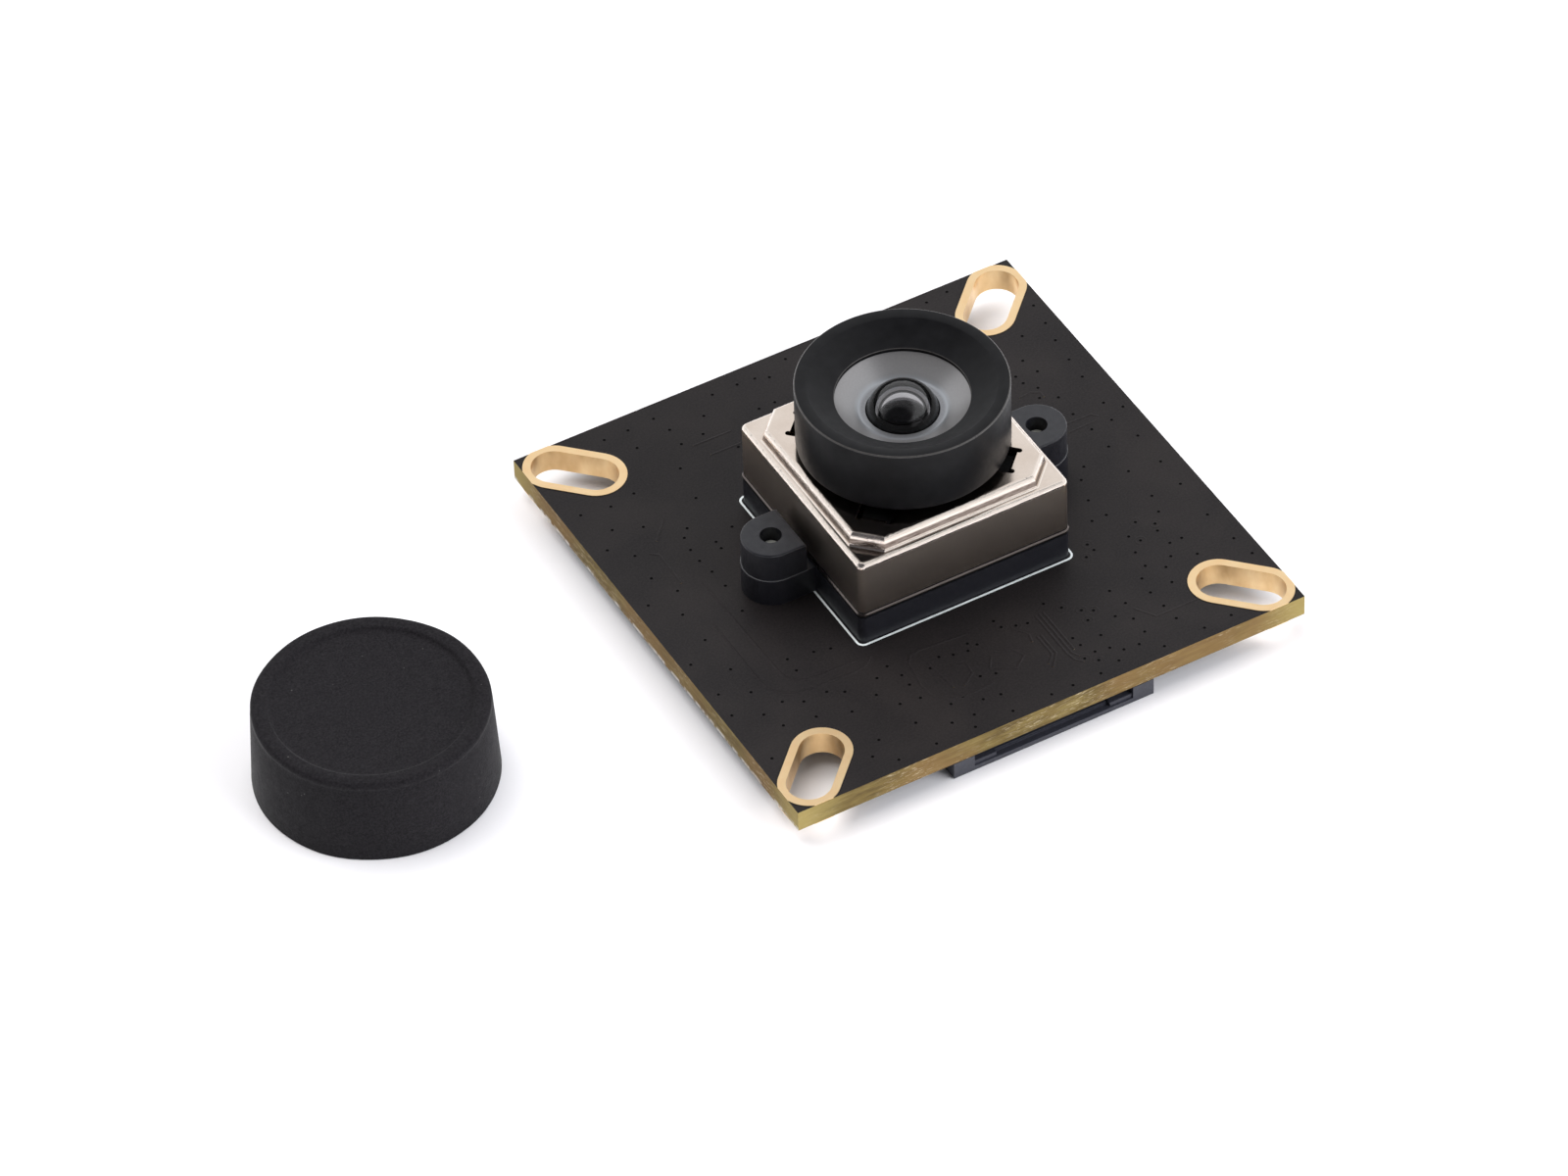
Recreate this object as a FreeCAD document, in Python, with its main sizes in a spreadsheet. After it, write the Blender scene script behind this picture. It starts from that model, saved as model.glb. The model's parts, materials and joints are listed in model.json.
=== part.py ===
"""Autofocus camera module on a square circuit board, with its rubber lens cap standing beside it.

Millimetres. The origin is the centre of the board's top face, midway between the four corner slots. +Z runs
along the optical axis, out of the lens, and -Y points to the board edge that carries the flat-cable connector.
"""
import FreeCAD, Part
import math
import os
import re
import Sketcher

SIZES = {
    # circuit board
    "board_side": 38.0,
    "board_thickness": 1.6,
    # corner slots and their gold lining
    "slot_edge_distance": 3.0,
    "slot_width": 3.0,
    "slot_length": 6.0,
    "slot_wall": 0.06,
    "land_width": 0.55,
    "land_thickness": 0.05,
    # image sensor, from its die outwards
    "die_length": 7.2,
    "die_width": 5.6,
    "die_thickness": 0.25,
    "die_margin": 0.5,
    "die_bay_floor": 0.35,
    "sensor_glass_ledge": 0.58,
    "sensor_glass_thickness": 0.4,
    "sensor_glass_seat": 0.2,
    "glass_clearance": 0.02,
    "package_wall": 1.02,
    "package_height": 0.9,
    # moulded lens holder
    "holder_step": 0.04,
    "holder_corner": 0.45,
    "holder_roof": 0.7,
    "sensor_clearance": 0.5,
    "sensor_headroom": 0.35,
    "filter_length": 9.5,
    "filter_width": 8.3,
    "filter_thickness": 0.3,
    "filter_recess": 0.05,
    "filter_ledge": 0.55,
    # screw lugs of the holder
    "lug_offset": 2.13,
    "lug_radius": 2.0,
    "lug_rise": 2.25,
    "lug_inner_gap": 0.6,
    "lug_ledge": 0.05,
    "lug_hole_radius": 0.73,
    "lug_edge_round": 0.12,
    # pan-head screws
    "screw_clearance": 0.03,
    "screw_board_clearance": 0.25,
    "screw_head_radius": 1.6,
    "screw_head_height": 1.2,
    "screw_sunk": 0.95,
    "screw_tip": 0.2,
    "cross_recess_length": 1.7,
    "cross_recess_width": 0.36,
    "cross_recess_depth": 0.6,
    # drawn can of the focus motor
    "can_wall": 0.2,
    "can_corner": 0.45,
    "can_skirt": 4.55,
    "can_rim_round": 0.38,
    "can_flare": 0.09,
    "can_flare_height": 0.2,
    "can_ledge": 0.48,
    "plateau_rise": 0.9,
    "plateau_lean": 0.22,
    "plateau_chamfer": 1.7,
    "plateau_round": 0.36,
    "plateau_foot_bevel": 0.08,
    "opening_gap": 0.8,
    "notch_width": 2.4,
    "notch_depth": 1.45,
    "notch_ear_radius": 0.2,
    # focus motor: base, magnets, coil, carrier, springs, terminals
    "base_flange": 0.2,
    "base_thickness": 0.95,
    "base_clearance": 0.05,
    "barrel_clearance": 0.15,
    "spring_thickness": 0.06,
    "spring_frame_gap": 0.38,
    "spring_ring_gap": 0.04,
    "spring_arm_width": 0.16,
    "spring_arm_sweep": 64.0,
    "magnet_length": 8.0,
    "magnet_thickness": 1.0,
    "magnet_gap": 0.26,
    "magnet_fit": 0.05,
    "spacer_height": 0.33,
    "spacer_wall": 0.5,
    "spacer_inset": 0.28,
    "spacer_top_gap": 0.05,
    "carrier_wall": 0.68,
    "carrier_fit": 0.02,
    "carrier_flange": 0.45,
    "carrier_collar_wall": 0.24,
    "carrier_top_gap": 0.35,
    "carrier_lug_gap": 0.25,
    "carrier_lug_height": 0.45,
    "coil_thickness": 0.45,
    "coil_gap": 0.02,
    "coil_top_gap": 0.43,
    "focus_terminal_spacing": 2.0,
    "focus_terminal_width": 0.5,
    "focus_terminal_thickness": 0.15,
    "focus_terminal_cover": 0.03,
    "focus_terminal_foot": 1.25,
    "focus_terminal_bite": 0.75,
    "focus_terminal_fit": 0.02,
    "terminal_groove_margin": 0.35,
    "terminal_groove_room": 0.18,
    # lens barrel with its hood head
    "element_radius": 4.7,
    "element_fit": 0.02,
    "barrel_wall": 0.48,
    "barrel_overhang": 0.17,
    "head_overhang": 1.85,
    "head_gap": 0.6,
    "head_height": 4.73,
    "head_edge": 0.1,
    "head_foot_edge": 0.15,
    "hood_land_width": 0.85,
    "hood_land_drop": 0.05,
    "hood_depth": 1.21,
    "hood_lip": 0.2,
    "hood_lip_reach": 0.26,
    # glass and rings inside the barrel
    "front_edge": 1.9,
    "front_dome_radius": 2.38,
    "front_dome_height": 1.9,
    "front_dish_inner": 2.9,
    "front_dish_drop": 0.93,
    "front_groove_drop": 0.97,
    "front_hollow_radius": 1.65,
    "front_hollow_depth": 1.5,
    "front_spacer_height": 0.5,
    "spacer_bore_gap": 0.1,
    "stop_thickness": 0.1,
    "stop_bore": 1.55,
    "second_edge": 0.7,
    "second_front_sag": 0.35,
    "second_rear_sag": 0.35,
    "middle_air_gap": 0.7,
    "third_edge": 0.8,
    "third_front_sag": 0.3,
    "third_rear_sag": 0.35,
    "rear_air_gap": 0.7,
    "rear_edge": 0.9,
    "rear_front_sag": 0.4,
    "rear_rear_sag": 0.3,
    "lens_clear_radius": 3.5,
    "retainer_height": 1.1,
    # flat-cable connector under the front edge
    "connector_end": 1.55,
    "connector_height": 1.4,
    "connector_back_wall": 0.6,
    "lock_depth": 0.95,
    "lock_gap": 0.05,
    "cable_margin": 0.7,
    "cable_slot_top": 0.3,
    "cable_slot_height": 0.78,
    "cable_slot_depth": 2.8,
    "lock_lip_height": 0.36,
    "lock_tongue_gap": 0.2,
    "lock_tongue_height": 0.26,
    "lock_tongue_length": 2.0,
    "lock_runner_width": 0.5,
    "lock_runner_height": 0.5,
    "lock_runner_length": 1.9,
    "lock_runner_inset": 0.55,
    "lock_fit": 0.05,
    "contact_count": 22,
    "contact_pitch": 0.5,
    "contact_width": 0.2,
    "contact_thickness": 0.2,
    "contact_start": 0.5,
    "contact_tail": 0.7,
    "contact_fit": 0.02,
    "tab_length": 1.6,
    "tab_width": 0.7,
    "tab_thickness": 0.2,
    "tab_setback": 1.6,
    # parts soldered to the underside
    "regulator_length": 2.9,
    "regulator_width": 1.6,
    "regulator_height": 1.0,
    "regulator_lift": 0.1,
    "regulator_lead_width": 0.4,
    "regulator_lead_pitch": 0.95,
    "regulator_lead_reach": 0.6,
    "regulator_lead_thickness": 0.15,
    "regulator_spacing": 5.5,
    "regulator_edge_distance": 6.4,
    "oscillator_length": 3.2,
    "oscillator_width": 2.5,
    "oscillator_height": 0.8,
    "oscillator_across": 12.0,
    "oscillator_along": 4.6,
    "chip_end": 0.22,
    "chip_end_skin": 0.02,
    "capacitor_length": 1.6,
    "capacitor_width": 0.8,
    "capacitor_height": 0.8,
    "capacitor_pitch": 2.4,
    "capacitor_row": 8.6,
    "capacitor_row_gap": 1.8,
    "resistor_length": 1.0,
    "resistor_width": 0.5,
    "resistor_height": 0.35,
    "resistor_pitch": 1.3,
    "resistor_row": 8.0,
    "resistor_across": -6.5,
    # rubber lens cap, taken off
    "cap_across": -39.0,
    "cap_along": 0.95,
    "cap_grip_gap": 0.05,
    "cap_wall": 1.0,
    "cap_draft": 0.32,
    "cap_depth": 5.0,
    "cap_roof": 1.5,
    "cap_rim_round": 0.35,
    "cap_rim_width": 1.03,
    "cap_recess_depth": 0.16,
    "cap_recess_round": 0.12,
    "cap_mouth_edge": 0.2,
}

# Places that follow from the sizes. Each line may use those above it.
PLACES = {
    # circuit board and what lies along its edges
    "slot_spacing": "board_side - 2 * slot_edge_distance",
    "regulator_row": "board_side / 2 - regulator_edge_distance",
    # image sensor and lens holder, from the die outwards and upwards
    "die_bay_length": "die_length + 2 * die_margin",
    "die_bay_width": "die_width + 2 * die_margin",
    "sensor_glass_length": "die_bay_length + 2 * sensor_glass_ledge",
    "sensor_glass_width": "die_bay_width + 2 * sensor_glass_ledge",
    "package_length": "sensor_glass_length + 2 * package_wall",
    "package_width": "sensor_glass_width + 2 * package_wall",
    "sensor_bay_height": "package_height - sensor_glass_seat + sensor_glass_thickness + sensor_headroom",
    "holder_top": "sensor_bay_height + holder_roof",
    # lens barrel and focus motor, from the glass outwards
    "barrel_bore": "element_radius + element_fit",
    "neck_radius": "barrel_bore + barrel_wall",
    "head_radius": "neck_radius + head_overhang",
    "carrier_bore": "neck_radius + carrier_fit",
    "carrier_radius": "carrier_bore + carrier_wall",
    "collar_radius": "carrier_bore + carrier_collar_wall",
    "coil_radius": "carrier_radius + coil_gap + coil_thickness",
    "can_inner_side": "2 * (coil_radius + magnet_gap + magnet_thickness + magnet_fit)",
    "can_side": "can_inner_side + 2 * can_wall",
    "holder_side": "can_side + 2 * holder_step",
    "lug_place": "holder_side / 2 + lug_offset",
    "lug_top": "holder_top + lug_rise",
    "opening_radius": "neck_radius + opening_gap",
    "notch_reach": "opening_radius + notch_depth",
    "terminal_set": "can_inner_side / 2 - base_clearance - focus_terminal_cover - focus_terminal_thickness",
    # levels of the focus motor
    "can_bottom": "holder_top + base_flange",
    "can_shoulder": "can_bottom + can_skirt",
    "can_inner_shoulder": "can_shoulder - can_wall",
    "plateau_top": "can_shoulder + plateau_rise",
    "can_inner_top": "plateau_top - can_wall",
    "base_top": "holder_top + base_thickness",
    "lower_spring_top": "base_top + spring_thickness",
    "upper_spring_top": "can_shoulder - can_wall - spacer_top_gap - spacer_height",
    "magnet_top": "upper_spring_top - spring_thickness",
    "carrier_top": "plateau_top - can_wall - carrier_top_gap",
    # levels of the lens, from its head down to its last ring
    "head_bottom": "plateau_top + head_gap",
    "head_top": "head_bottom + head_height",
    "hood_mouth": "head_top - hood_depth",
    "hood_mouth_radius": "element_radius - hood_lip_reach",
    "seat": "hood_mouth - hood_lip",
    "front_back": "seat - front_edge",
    "stop_top": "front_back - front_spacer_height",
    "second_rim": "stop_top - stop_thickness",
    "second_back": "second_rim - second_edge",
    "third_rim": "second_back - second_rear_sag - middle_air_gap - third_front_sag",
    "third_back": "third_rim - third_edge",
    "rear_rim": "third_back - third_rear_sag - rear_air_gap - rear_front_sag",
    "rear_back": "rear_rim - rear_edge",
    "barrel_bottom": "rear_back - retainer_height - barrel_overhang",
    "spacer_bore": "lens_clear_radius + spacer_bore_gap",
    # connector
    "underside": "-board_thickness",
    "cable_slot_width": "(contact_count - 1) * contact_pitch + 2 * cable_margin",
    "connector_length": "cable_slot_width + 2 * connector_end",
    "connector_front": "-board_side / 2",
    "housing_front": "connector_front + lock_depth + lock_gap",
    "housing_back": "housing_front + cable_slot_depth + connector_back_wall",
    "slot_top": "underside - cable_slot_top",
    "slot_bottom": "slot_top - cable_slot_height",
    "runner_middle": "underside - connector_height / 2",
    # cap
    "cap_foot_radius": "head_radius + cap_grip_gap + cap_wall",
    "cap_top_radius": "cap_foot_radius - cap_draft",
    "cap_recess_radius": "cap_top_radius - cap_rim_width",
    "cap_height": "cap_depth + cap_roof",
}
CORNERS = ((-1, -1), (1, -1), (-1, 1), (1, 1))
QUARTERS = (0, 90, 180, 270)
UP = FreeCAD.Vector(0, 0, 1)
ALIAS = re.compile(r"[A-Za-z_]\w*")
NAMES = {*SIZES, *PLACES}

doc = FreeCAD.newDocument("camera_module")
sheet = doc.addObject("Spreadsheet::Sheet", "Sizes")
for row, (alias, size) in enumerate([*SIZES.items(), *PLACES.items()], start=1):
    sheet.set(f"A{row}", alias)
    sheet.set(f"B{row}", f"={size}" if alias in PLACES else str(size))
    sheet.setAlias(f"B{row}", alias)
doc.recompute()


def value(alias):
    """A size or place as a number."""
    return float(sheet.get(alias))


def linked(formula):
    """The formula with each size written as its cell in the sheet."""
    return ALIAS.sub(lambda word: "Sizes." + word.group() if word.group() in NAMES else word.group(), formula)


def bind(item, **formulas):
    """Bind properties to formulas. A double underscore stands for the dot in a property's path."""
    for path, formula in formulas.items():
        item.setExpression(path.replace("__", "."), linked(formula))
    return item


def moved(item, x="0", y="0", z="0"):
    """Bind the item's place, leaving its rotation alone."""
    return bind(item, Placement__Base__x=x, Placement__Base__y=y, Placement__Base__z=z)


def turned_to(item, degrees):
    """Turn the item about the vertical."""
    item.Placement = FreeCAD.Placement(FreeCAD.Vector(), FreeCAD.Rotation(UP, degrees))
    return item


# Solids from primitives and booleans

def box(name, length, width, height, x="0", y="0", z="0"):
    """A box centred on x and y that stands on z."""
    item = bind(doc.addObject("Part::Box", name), Length=length, Width=width, Height=height)
    return moved(item, f"({x}) - ({length}) / 2", f"({y}) - ({width}) / 2", z)


def cylinder(name, radius, height, x="0", y="0", z="0"):
    item = bind(doc.addObject("Part::Cylinder", name), Radius=radius, Height=height)
    return moved(item, x, y, z)


def cut(name, base, *tools):
    item = doc.addObject("Part::Cut", name)
    item.Base = base
    item.Tool = tools[0] if len(tools) == 1 else fuse(name + "_tools", *tools)
    return item


def fuse(name, *pieces):
    item = doc.addObject("Part::MultiFuse", name)
    item.Shapes = list(pieces)
    return item


def common(name, *pieces):
    item = doc.addObject("Part::MultiCommon", name)
    item.Shapes = list(pieces)
    return item


def group(name, pieces):
    """Separate solids under one name."""
    item = doc.addObject("Part::Compound", name)
    item.Links = pieces
    return item


def swung(item, degrees):
    """The item turned about the optical axis."""
    return turned_to(group(item.Name + "_swung", [item]), degrees)


def ring(name, outer, inner, height, z):
    disc = cylinder(name + "_disc", outer, height, z=z)
    return cut(name, disc, cylinder(name + "_hole", inner, height, z=z))


# Bodies from sketches and features

def body(name):
    item = doc.addObject("PartDesign::Body", name)
    item.Label = name
    return item


def sketch(owner, shapes, plane="XY_Plane", level="0"):
    """A sketch on one of the body's planes. A shape is a list of corners, or a circle as (x, y, radius)."""
    item = owner.newObject("Sketcher::SketchObject", owner.Name + "_sketch")
    origin_plane = next(feature for feature in owner.Origin.OriginFeatures if feature.Role == plane)
    item.AttachmentSupport = [(origin_plane, "")]
    item.MapMode = "FlatFace"
    bind(item, AttachmentOffset__Base__z=level)
    for shape in shapes:
        if isinstance(shape, tuple):
            draw_circle(item, *shape)
        else:
            draw_polygon(item, shape)
    return item


def place_point(item, edge, point, x, y):
    """Hold one point of the sketch at bound distances from the sketch's origin."""
    for kind, formula in (("DistanceX", x), ("DistanceY", y)):
        index = item.addConstraint(Sketcher.Constraint(kind, -1, 1, edge, point, 1.0))
        label = f"{kind}_{index}"
        item.renameConstraint(index, label)
        item.setExpression("Constraints." + label, linked(formula))


def draw_polygon(item, corners):
    count = len(corners)
    first = item.GeometryCount
    angles = [2 * math.pi * step / count for step in range(count)]
    rough = [FreeCAD.Vector(math.cos(angle), math.sin(angle), 0) for angle in angles]
    for step in range(count):
        item.addGeometry(Part.LineSegment(rough[step], rough[(step + 1) % count]), False)
    for step in range(count):
        item.addConstraint(Sketcher.Constraint("Coincident", first + step, 2, first + (step + 1) % count, 1))
    for step, (x, y) in enumerate(corners):
        place_point(item, first + step, 1, x, y)


def draw_circle(item, x, y, radius):
    edge = item.addGeometry(Part.Circle(FreeCAD.Vector(), UP, 1.0), False)
    index = item.addConstraint(Sketcher.Constraint("Radius", edge, 1.0))
    label = f"Radius_{index}"
    item.renameConstraint(index, label)
    item.setExpression("Constraints." + label, linked(radius))
    place_point(item, edge, 3, x, y)


def pad(owner, shapes, level, height, taper=None):
    """Raise the shapes from the level. A taper is the sideways run of the wall over its height."""
    profile = sketch(owner, shapes, level=level)
    item = bind(owner.newObject("PartDesign::Pad", owner.Name + "_pad"), Length=height)
    item.Profile = profile
    if taper:
        bind(item, TaperAngle=f"-atan(({taper}) / ({height}))")
    return item


def pocket(owner, shapes, level, depth):
    """Sink the shapes downwards from the level."""
    profile = sketch(owner, shapes, level=level)
    item = bind(owner.newObject("PartDesign::Pocket", owner.Name + "_pocket"), Length=depth)
    item.Profile = profile
    return item


def revolve(owner, profile):
    """Turn a profile of (radius, height) corners about the vertical axis."""
    outline = sketch(owner, [profile], plane="XZ_Plane")
    item = owner.newObject("PartDesign::Revolution", owner.Name + "_turned")
    item.Profile = outline
    item.ReferenceAxis = (outline, ["V_Axis"])
    item.Angle = 360
    return item


def turned(name, profile):
    owner = body(name)
    revolve(owner, profile)
    return owner


def soften(owner, chosen, radius, kind="Fillet"):
    """Round or bevel the edges that the test picks."""
    doc.recompute()
    base = owner.Tip
    names = [f"Edge{number}" for number, edge in enumerate(base.Shape.Edges, start=1) if chosen(edge)]
    item = owner.newObject("PartDesign::" + kind, owner.Name + "_" + kind.lower())
    item.Base = (base, names)
    return bind(item, **{"Radius" if kind == "Fillet" else "Size": radius})


def upright(edge):
    return edge.BoundBox.ZLength > 1e-3 and edge.BoundBox.XLength + edge.BoundBox.YLength < 1e-3


def level_at(height):
    """A test for edges that lie flat at the height."""
    return lambda edge: abs(edge.BoundBox.ZMin - height) < 1e-4 and edge.BoundBox.ZLength < 1e-4


def square(side):
    half = f"({side}) / 2"
    return [(f"-{half}", f"-{half}"), (half, f"-{half}"), (half, half), (f"-{half}", half)]


def rectangle(length, width, x="0", y="0"):
    left, right = f"({x}) - ({length}) / 2", f"({x}) + ({length}) / 2"
    near, far = f"({y}) - ({width}) / 2", f"({y}) + ({width}) / 2"
    return [(left, near), (right, near), (right, far), (left, far)]


def octagon(side, chamfer):
    """A square with its corners cut off at 45 degrees."""
    half = f"({side}) / 2"
    short = f"(({side}) / 2 - ({chamfer}))"
    back = [(half, short), (short, half), (f"-{short}", half), (f"-{half}", short)]
    front = [(f"-{half}", f"-{short}"), (f"-{short}", f"-{half}"), (short, f"-{half}"), (half, f"-{short}")]
    return back + front


# Circuit board with its four diagonal slots

def slot_form(name, width, length, height, z, corner):
    """An obround block whose length points from the board's centre to one corner."""
    run = f"(({length}) - ({width})) / 2"
    bar = box(name + "_bar", f"({length}) - ({width})", width, height)
    ends = [cylinder(f"{name}_end_{side}", f"({width}) / 2", height, x=f"{side} * {run}") for side in (-1, 1)]
    item = turned_to(fuse(name, bar, *ends), math.degrees(math.atan2(corner[1], corner[0])))
    return moved(item, f"{corner[0]} * slot_spacing / 2", f"{corner[1]} * slot_spacing / 2", z)


def make_board():
    slab = box("board_slab", "board_side", "board_side", "board_thickness", z="-board_thickness")
    holes = [
        slot_form(f"board_slot_{index}", "slot_width + 2 * slot_wall", "slot_length + 2 * slot_wall",
                  "board_thickness", "-board_thickness", corner)
        for index, corner in enumerate(CORNERS)
    ]
    holes += [
        cylinder(f"board_screw_hole_{side + 1}", "lug_hole_radius + screw_board_clearance", "board_thickness",
                 x=f"{side} * lug_place", z="-board_thickness")
        for side in (-1, 1)
    ]
    return cut("circuit_board", slab, *holes)


def make_slot_plating():
    """Each slot is lined with gold, with a land on both faces that stops at the board's edges."""
    linings = []
    for index, corner in enumerate(CORNERS):
        name = f"lining_{index}"
        land = ("slot_width + 2 * land_width", "slot_length + 2 * land_width", "land_thickness")
        upper = slot_form(name + "_upper", *land, "0", corner)
        lower = slot_form(name + "_lower", *land, "-board_thickness - land_thickness", corner)
        barrel = slot_form(name + "_barrel", "slot_width + 2 * slot_wall", "slot_length + 2 * slot_wall",
                           "board_thickness", "-board_thickness", corner)
        full_height = "board_thickness + 2 * land_thickness"
        underside = "-board_thickness - land_thickness"
        clear = slot_form(name + "_clear", "slot_width", "slot_length", full_height, underside, corner)
        column = box(name + "_column", "board_side", "board_side", full_height, z=underside)
        trimmed = common(name + "_trimmed", fuse(name + "_blank", upper, lower, barrel), column)
        linings.append(cut(name, trimmed, clear))
    return group("slot_plating", linings)


# Moulded lens holder, its screws, the filter and the image sensor

def make_holder():
    item = body("lens_holder")
    pad(item, [square("holder_side")], "0", "holder_top")
    soften(item, upright, "holder_corner")
    for side in (-1, 1):
        centre = f"{side} * lug_place"
        foot_run = "(lug_offset + holder_side / 100)"
        foot = rectangle(foot_run, "2 * (lug_radius + lug_ledge)", x=f"{centre} - {side} * {foot_run} / 2")
        pad(item, [foot], "0", "holder_top")
        pad(item, [(centre, "0", "lug_radius + lug_ledge")], "0", "holder_top")
        block_run = "(lug_offset - lug_inner_gap)"
        block = rectangle(block_run, "2 * lug_radius", x=f"{centre} - {side} * {block_run} / 2")
        pad(item, [block], "holder_top", "lug_rise")
        pad(item, [(centre, "0", "lug_radius")], "holder_top", "lug_rise")
        spare_middle = f"{centre} - {side} * ({block_run} + lug_radius / 2)"
        spare = rectangle("lug_radius", "3 * lug_radius", x=spare_middle)
        pocket(item, [spare], "lug_top", "lug_rise")
    soften(item, level_at(value("lug_top")), "lug_edge_round")
    holes = [(f"{side} * lug_place", "0", "lug_hole_radius") for side in (-1, 1)]
    pocket(item, holes, "lug_top", "lug_top")
    bay = rectangle("package_length + 2 * sensor_clearance", "package_width + 2 * sensor_clearance")
    pocket(item, [bay], "sensor_bay_height", "sensor_bay_height")
    window = rectangle("filter_length - 2 * filter_ledge", "filter_width - 2 * filter_ledge")
    pocket(item, [window], "holder_top", "holder_roof")
    seat = rectangle("filter_length + 2 * glass_clearance", "filter_width + 2 * glass_clearance")
    pocket(item, [seat], "holder_top", "filter_thickness + filter_recess")
    groove_width = "focus_terminal_spacing + focus_terminal_width + 2 * terminal_groove_margin"
    groove_front = "(terminal_set - terminal_groove_room)"
    groove = rectangle(groove_width, f"holder_side / 2 - {groove_front}",
                       y=f"(holder_side / 2 + {groove_front}) / 2")
    pocket(item, [groove], "holder_top", "holder_top")
    return item


def make_screws():
    screws = []
    for side in (-1, 1):
        name = f"screw_{(side + 1) // 2}"
        shank = "lug_hole_radius - screw_clearance"
        seat = "-board_thickness"
        reach = "lug_top - screw_sunk"
        blank = turned(name + "_blank", [
            ("0", f"{seat} - screw_head_height"),
            ("screw_head_radius * 0.65", f"{seat} - screw_head_height"),
            ("screw_head_radius * 0.93", f"{seat} - screw_head_height * 0.75"),
            ("screw_head_radius", f"{seat} - screw_head_height * 0.4"),
            ("screw_head_radius", seat),
            (shank, seat),
            (shank, f"{reach} - screw_tip"),
            (f"{shank} - screw_tip", reach),
            ("0", reach),
        ])
        bars = [
            box(f"{name}_recess_{across}", *lengths, "cross_recess_depth", z=f"{seat} - screw_head_height")
            for across, lengths in enumerate((("cross_recess_length", "cross_recess_width"),
                                              ("cross_recess_width", "cross_recess_length")))
        ]
        screws.append(moved(cut(name, blank, *bars), x=f"{side} * lug_place"))
    return group("holder_screws", screws)


def make_filter():
    level = "holder_top - filter_thickness - filter_recess"
    return box("ir_filter", "filter_length", "filter_width", "filter_thickness", z=level)


def make_sensor():
    package = body("sensor_package")
    pad(package, [rectangle("package_length", "package_width")], "0", "package_height")
    pocket(package, [rectangle("die_bay_length", "die_bay_width")], "package_height",
           "package_height - die_bay_floor")
    seat = rectangle("sensor_glass_length + 2 * glass_clearance", "sensor_glass_width + 2 * glass_clearance")
    pocket(package, [seat], "package_height", "sensor_glass_seat")
    die = box("sensor_die", "die_length", "die_width", "die_thickness", z="die_bay_floor")
    glass = box("sensor_glass", "sensor_glass_length", "sensor_glass_width", "sensor_glass_thickness",
                z="package_height - sensor_glass_seat")
    return [package, die, glass]


# Drawn can of the focus motor

def can_form(name, inset, bottom, shoulder, top):
    """The can's outside, or with an inset its inside: a square box with an octagonal plateau on its top."""
    item = body(name)
    pad(item, [square(f"can_side - 2 * ({inset})")], bottom, f"{shoulder} - ({bottom})")
    soften(item, upright, f"can_corner - ({inset})")
    soften(item, level_at(value(shoulder)), f"can_rim_round - ({inset})")
    foot = f"(can_side - 2 * can_ledge - 2 * ({inset}))"
    chamfer = f"plateau_chamfer - ({inset}) * (2 - sqrt(2))"
    pad(item, [octagon(foot, chamfer)], shoulder, f"{top} - {shoulder}", taper="plateau_lean")
    soften(item, level_at(value(top)), f"plateau_round - ({inset})")
    return item


def notch_form(name, degrees):
    """A notch along one diagonal of the can, with a round ear at each of its two outer corners."""
    slab = box(name + "_slab", "notch_reach", "notch_width", "can_wall * 3", x="notch_reach / 2")
    ears = [
        cylinder(f"{name}_ear_{side}", "notch_ear_radius", "can_wall * 3",
                 x="notch_reach + notch_ear_radius / 3", y=f"{side} * (notch_width / 2 - notch_ear_radius)")
        for side in (-1, 1)
    ]
    item = turned_to(fuse(name, slab, *ears), degrees)
    return moved(item, z="plateau_top - can_wall * 2")


def make_can():
    outside = can_form("can_outside", "0", "can_bottom", "can_shoulder", "plateau_top")
    foot = "(can_side - 2 * can_ledge)"
    pad(outside, [octagon(f"{foot} + 2 * plateau_foot_bevel", "plateau_chamfer")], "can_shoulder",
        "plateau_foot_bevel", taper="plateau_foot_bevel")
    flare = body("can_flared_edge")
    pad(flare, [square("can_side + 2 * can_flare")], "can_bottom", "can_flare_height")
    soften(flare, upright, "can_corner + can_flare")
    soften(flare, level_at(value("can_bottom") + value("can_flare_height")), "can_flare", kind="Chamfer")
    inside = can_form("can_inside", "can_wall", "can_bottom - can_wall", "can_inner_shoulder", "can_inner_top")
    opening = cylinder("can_opening", "opening_radius", "can_wall * 3", z="plateau_top - can_wall * 2")
    notches = [notch_form(f"can_notch_{turn}", 45 + turn) for turn in QUARTERS]
    return cut("focus_can", fuse("can_blank", outside, flare), inside, opening, *notches)


# Focus motor inside the can

def make_base():
    item = body("focus_base")
    pad(item, [square("can_side - 2 * base_clearance")], "holder_top", "base_flange")
    pad(item, [square("can_inner_side - 2 * base_clearance")], "holder_top", "base_thickness")
    soften(item, upright, "can_corner - can_wall")
    pocket(item, [("0", "0", "neck_radius + barrel_clearance")], "base_top", "base_thickness")
    slots = [
        rectangle("focus_terminal_width + 2 * focus_terminal_fit",
                  "focus_terminal_thickness + 2 * focus_terminal_fit",
                  x=f"{side} * focus_terminal_spacing / 2", y="terminal_set + focus_terminal_thickness / 2")
        for side in (-1, 1)
    ]
    pocket(item, slots, "holder_top + focus_terminal_bite", "focus_terminal_bite")
    return item


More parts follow.
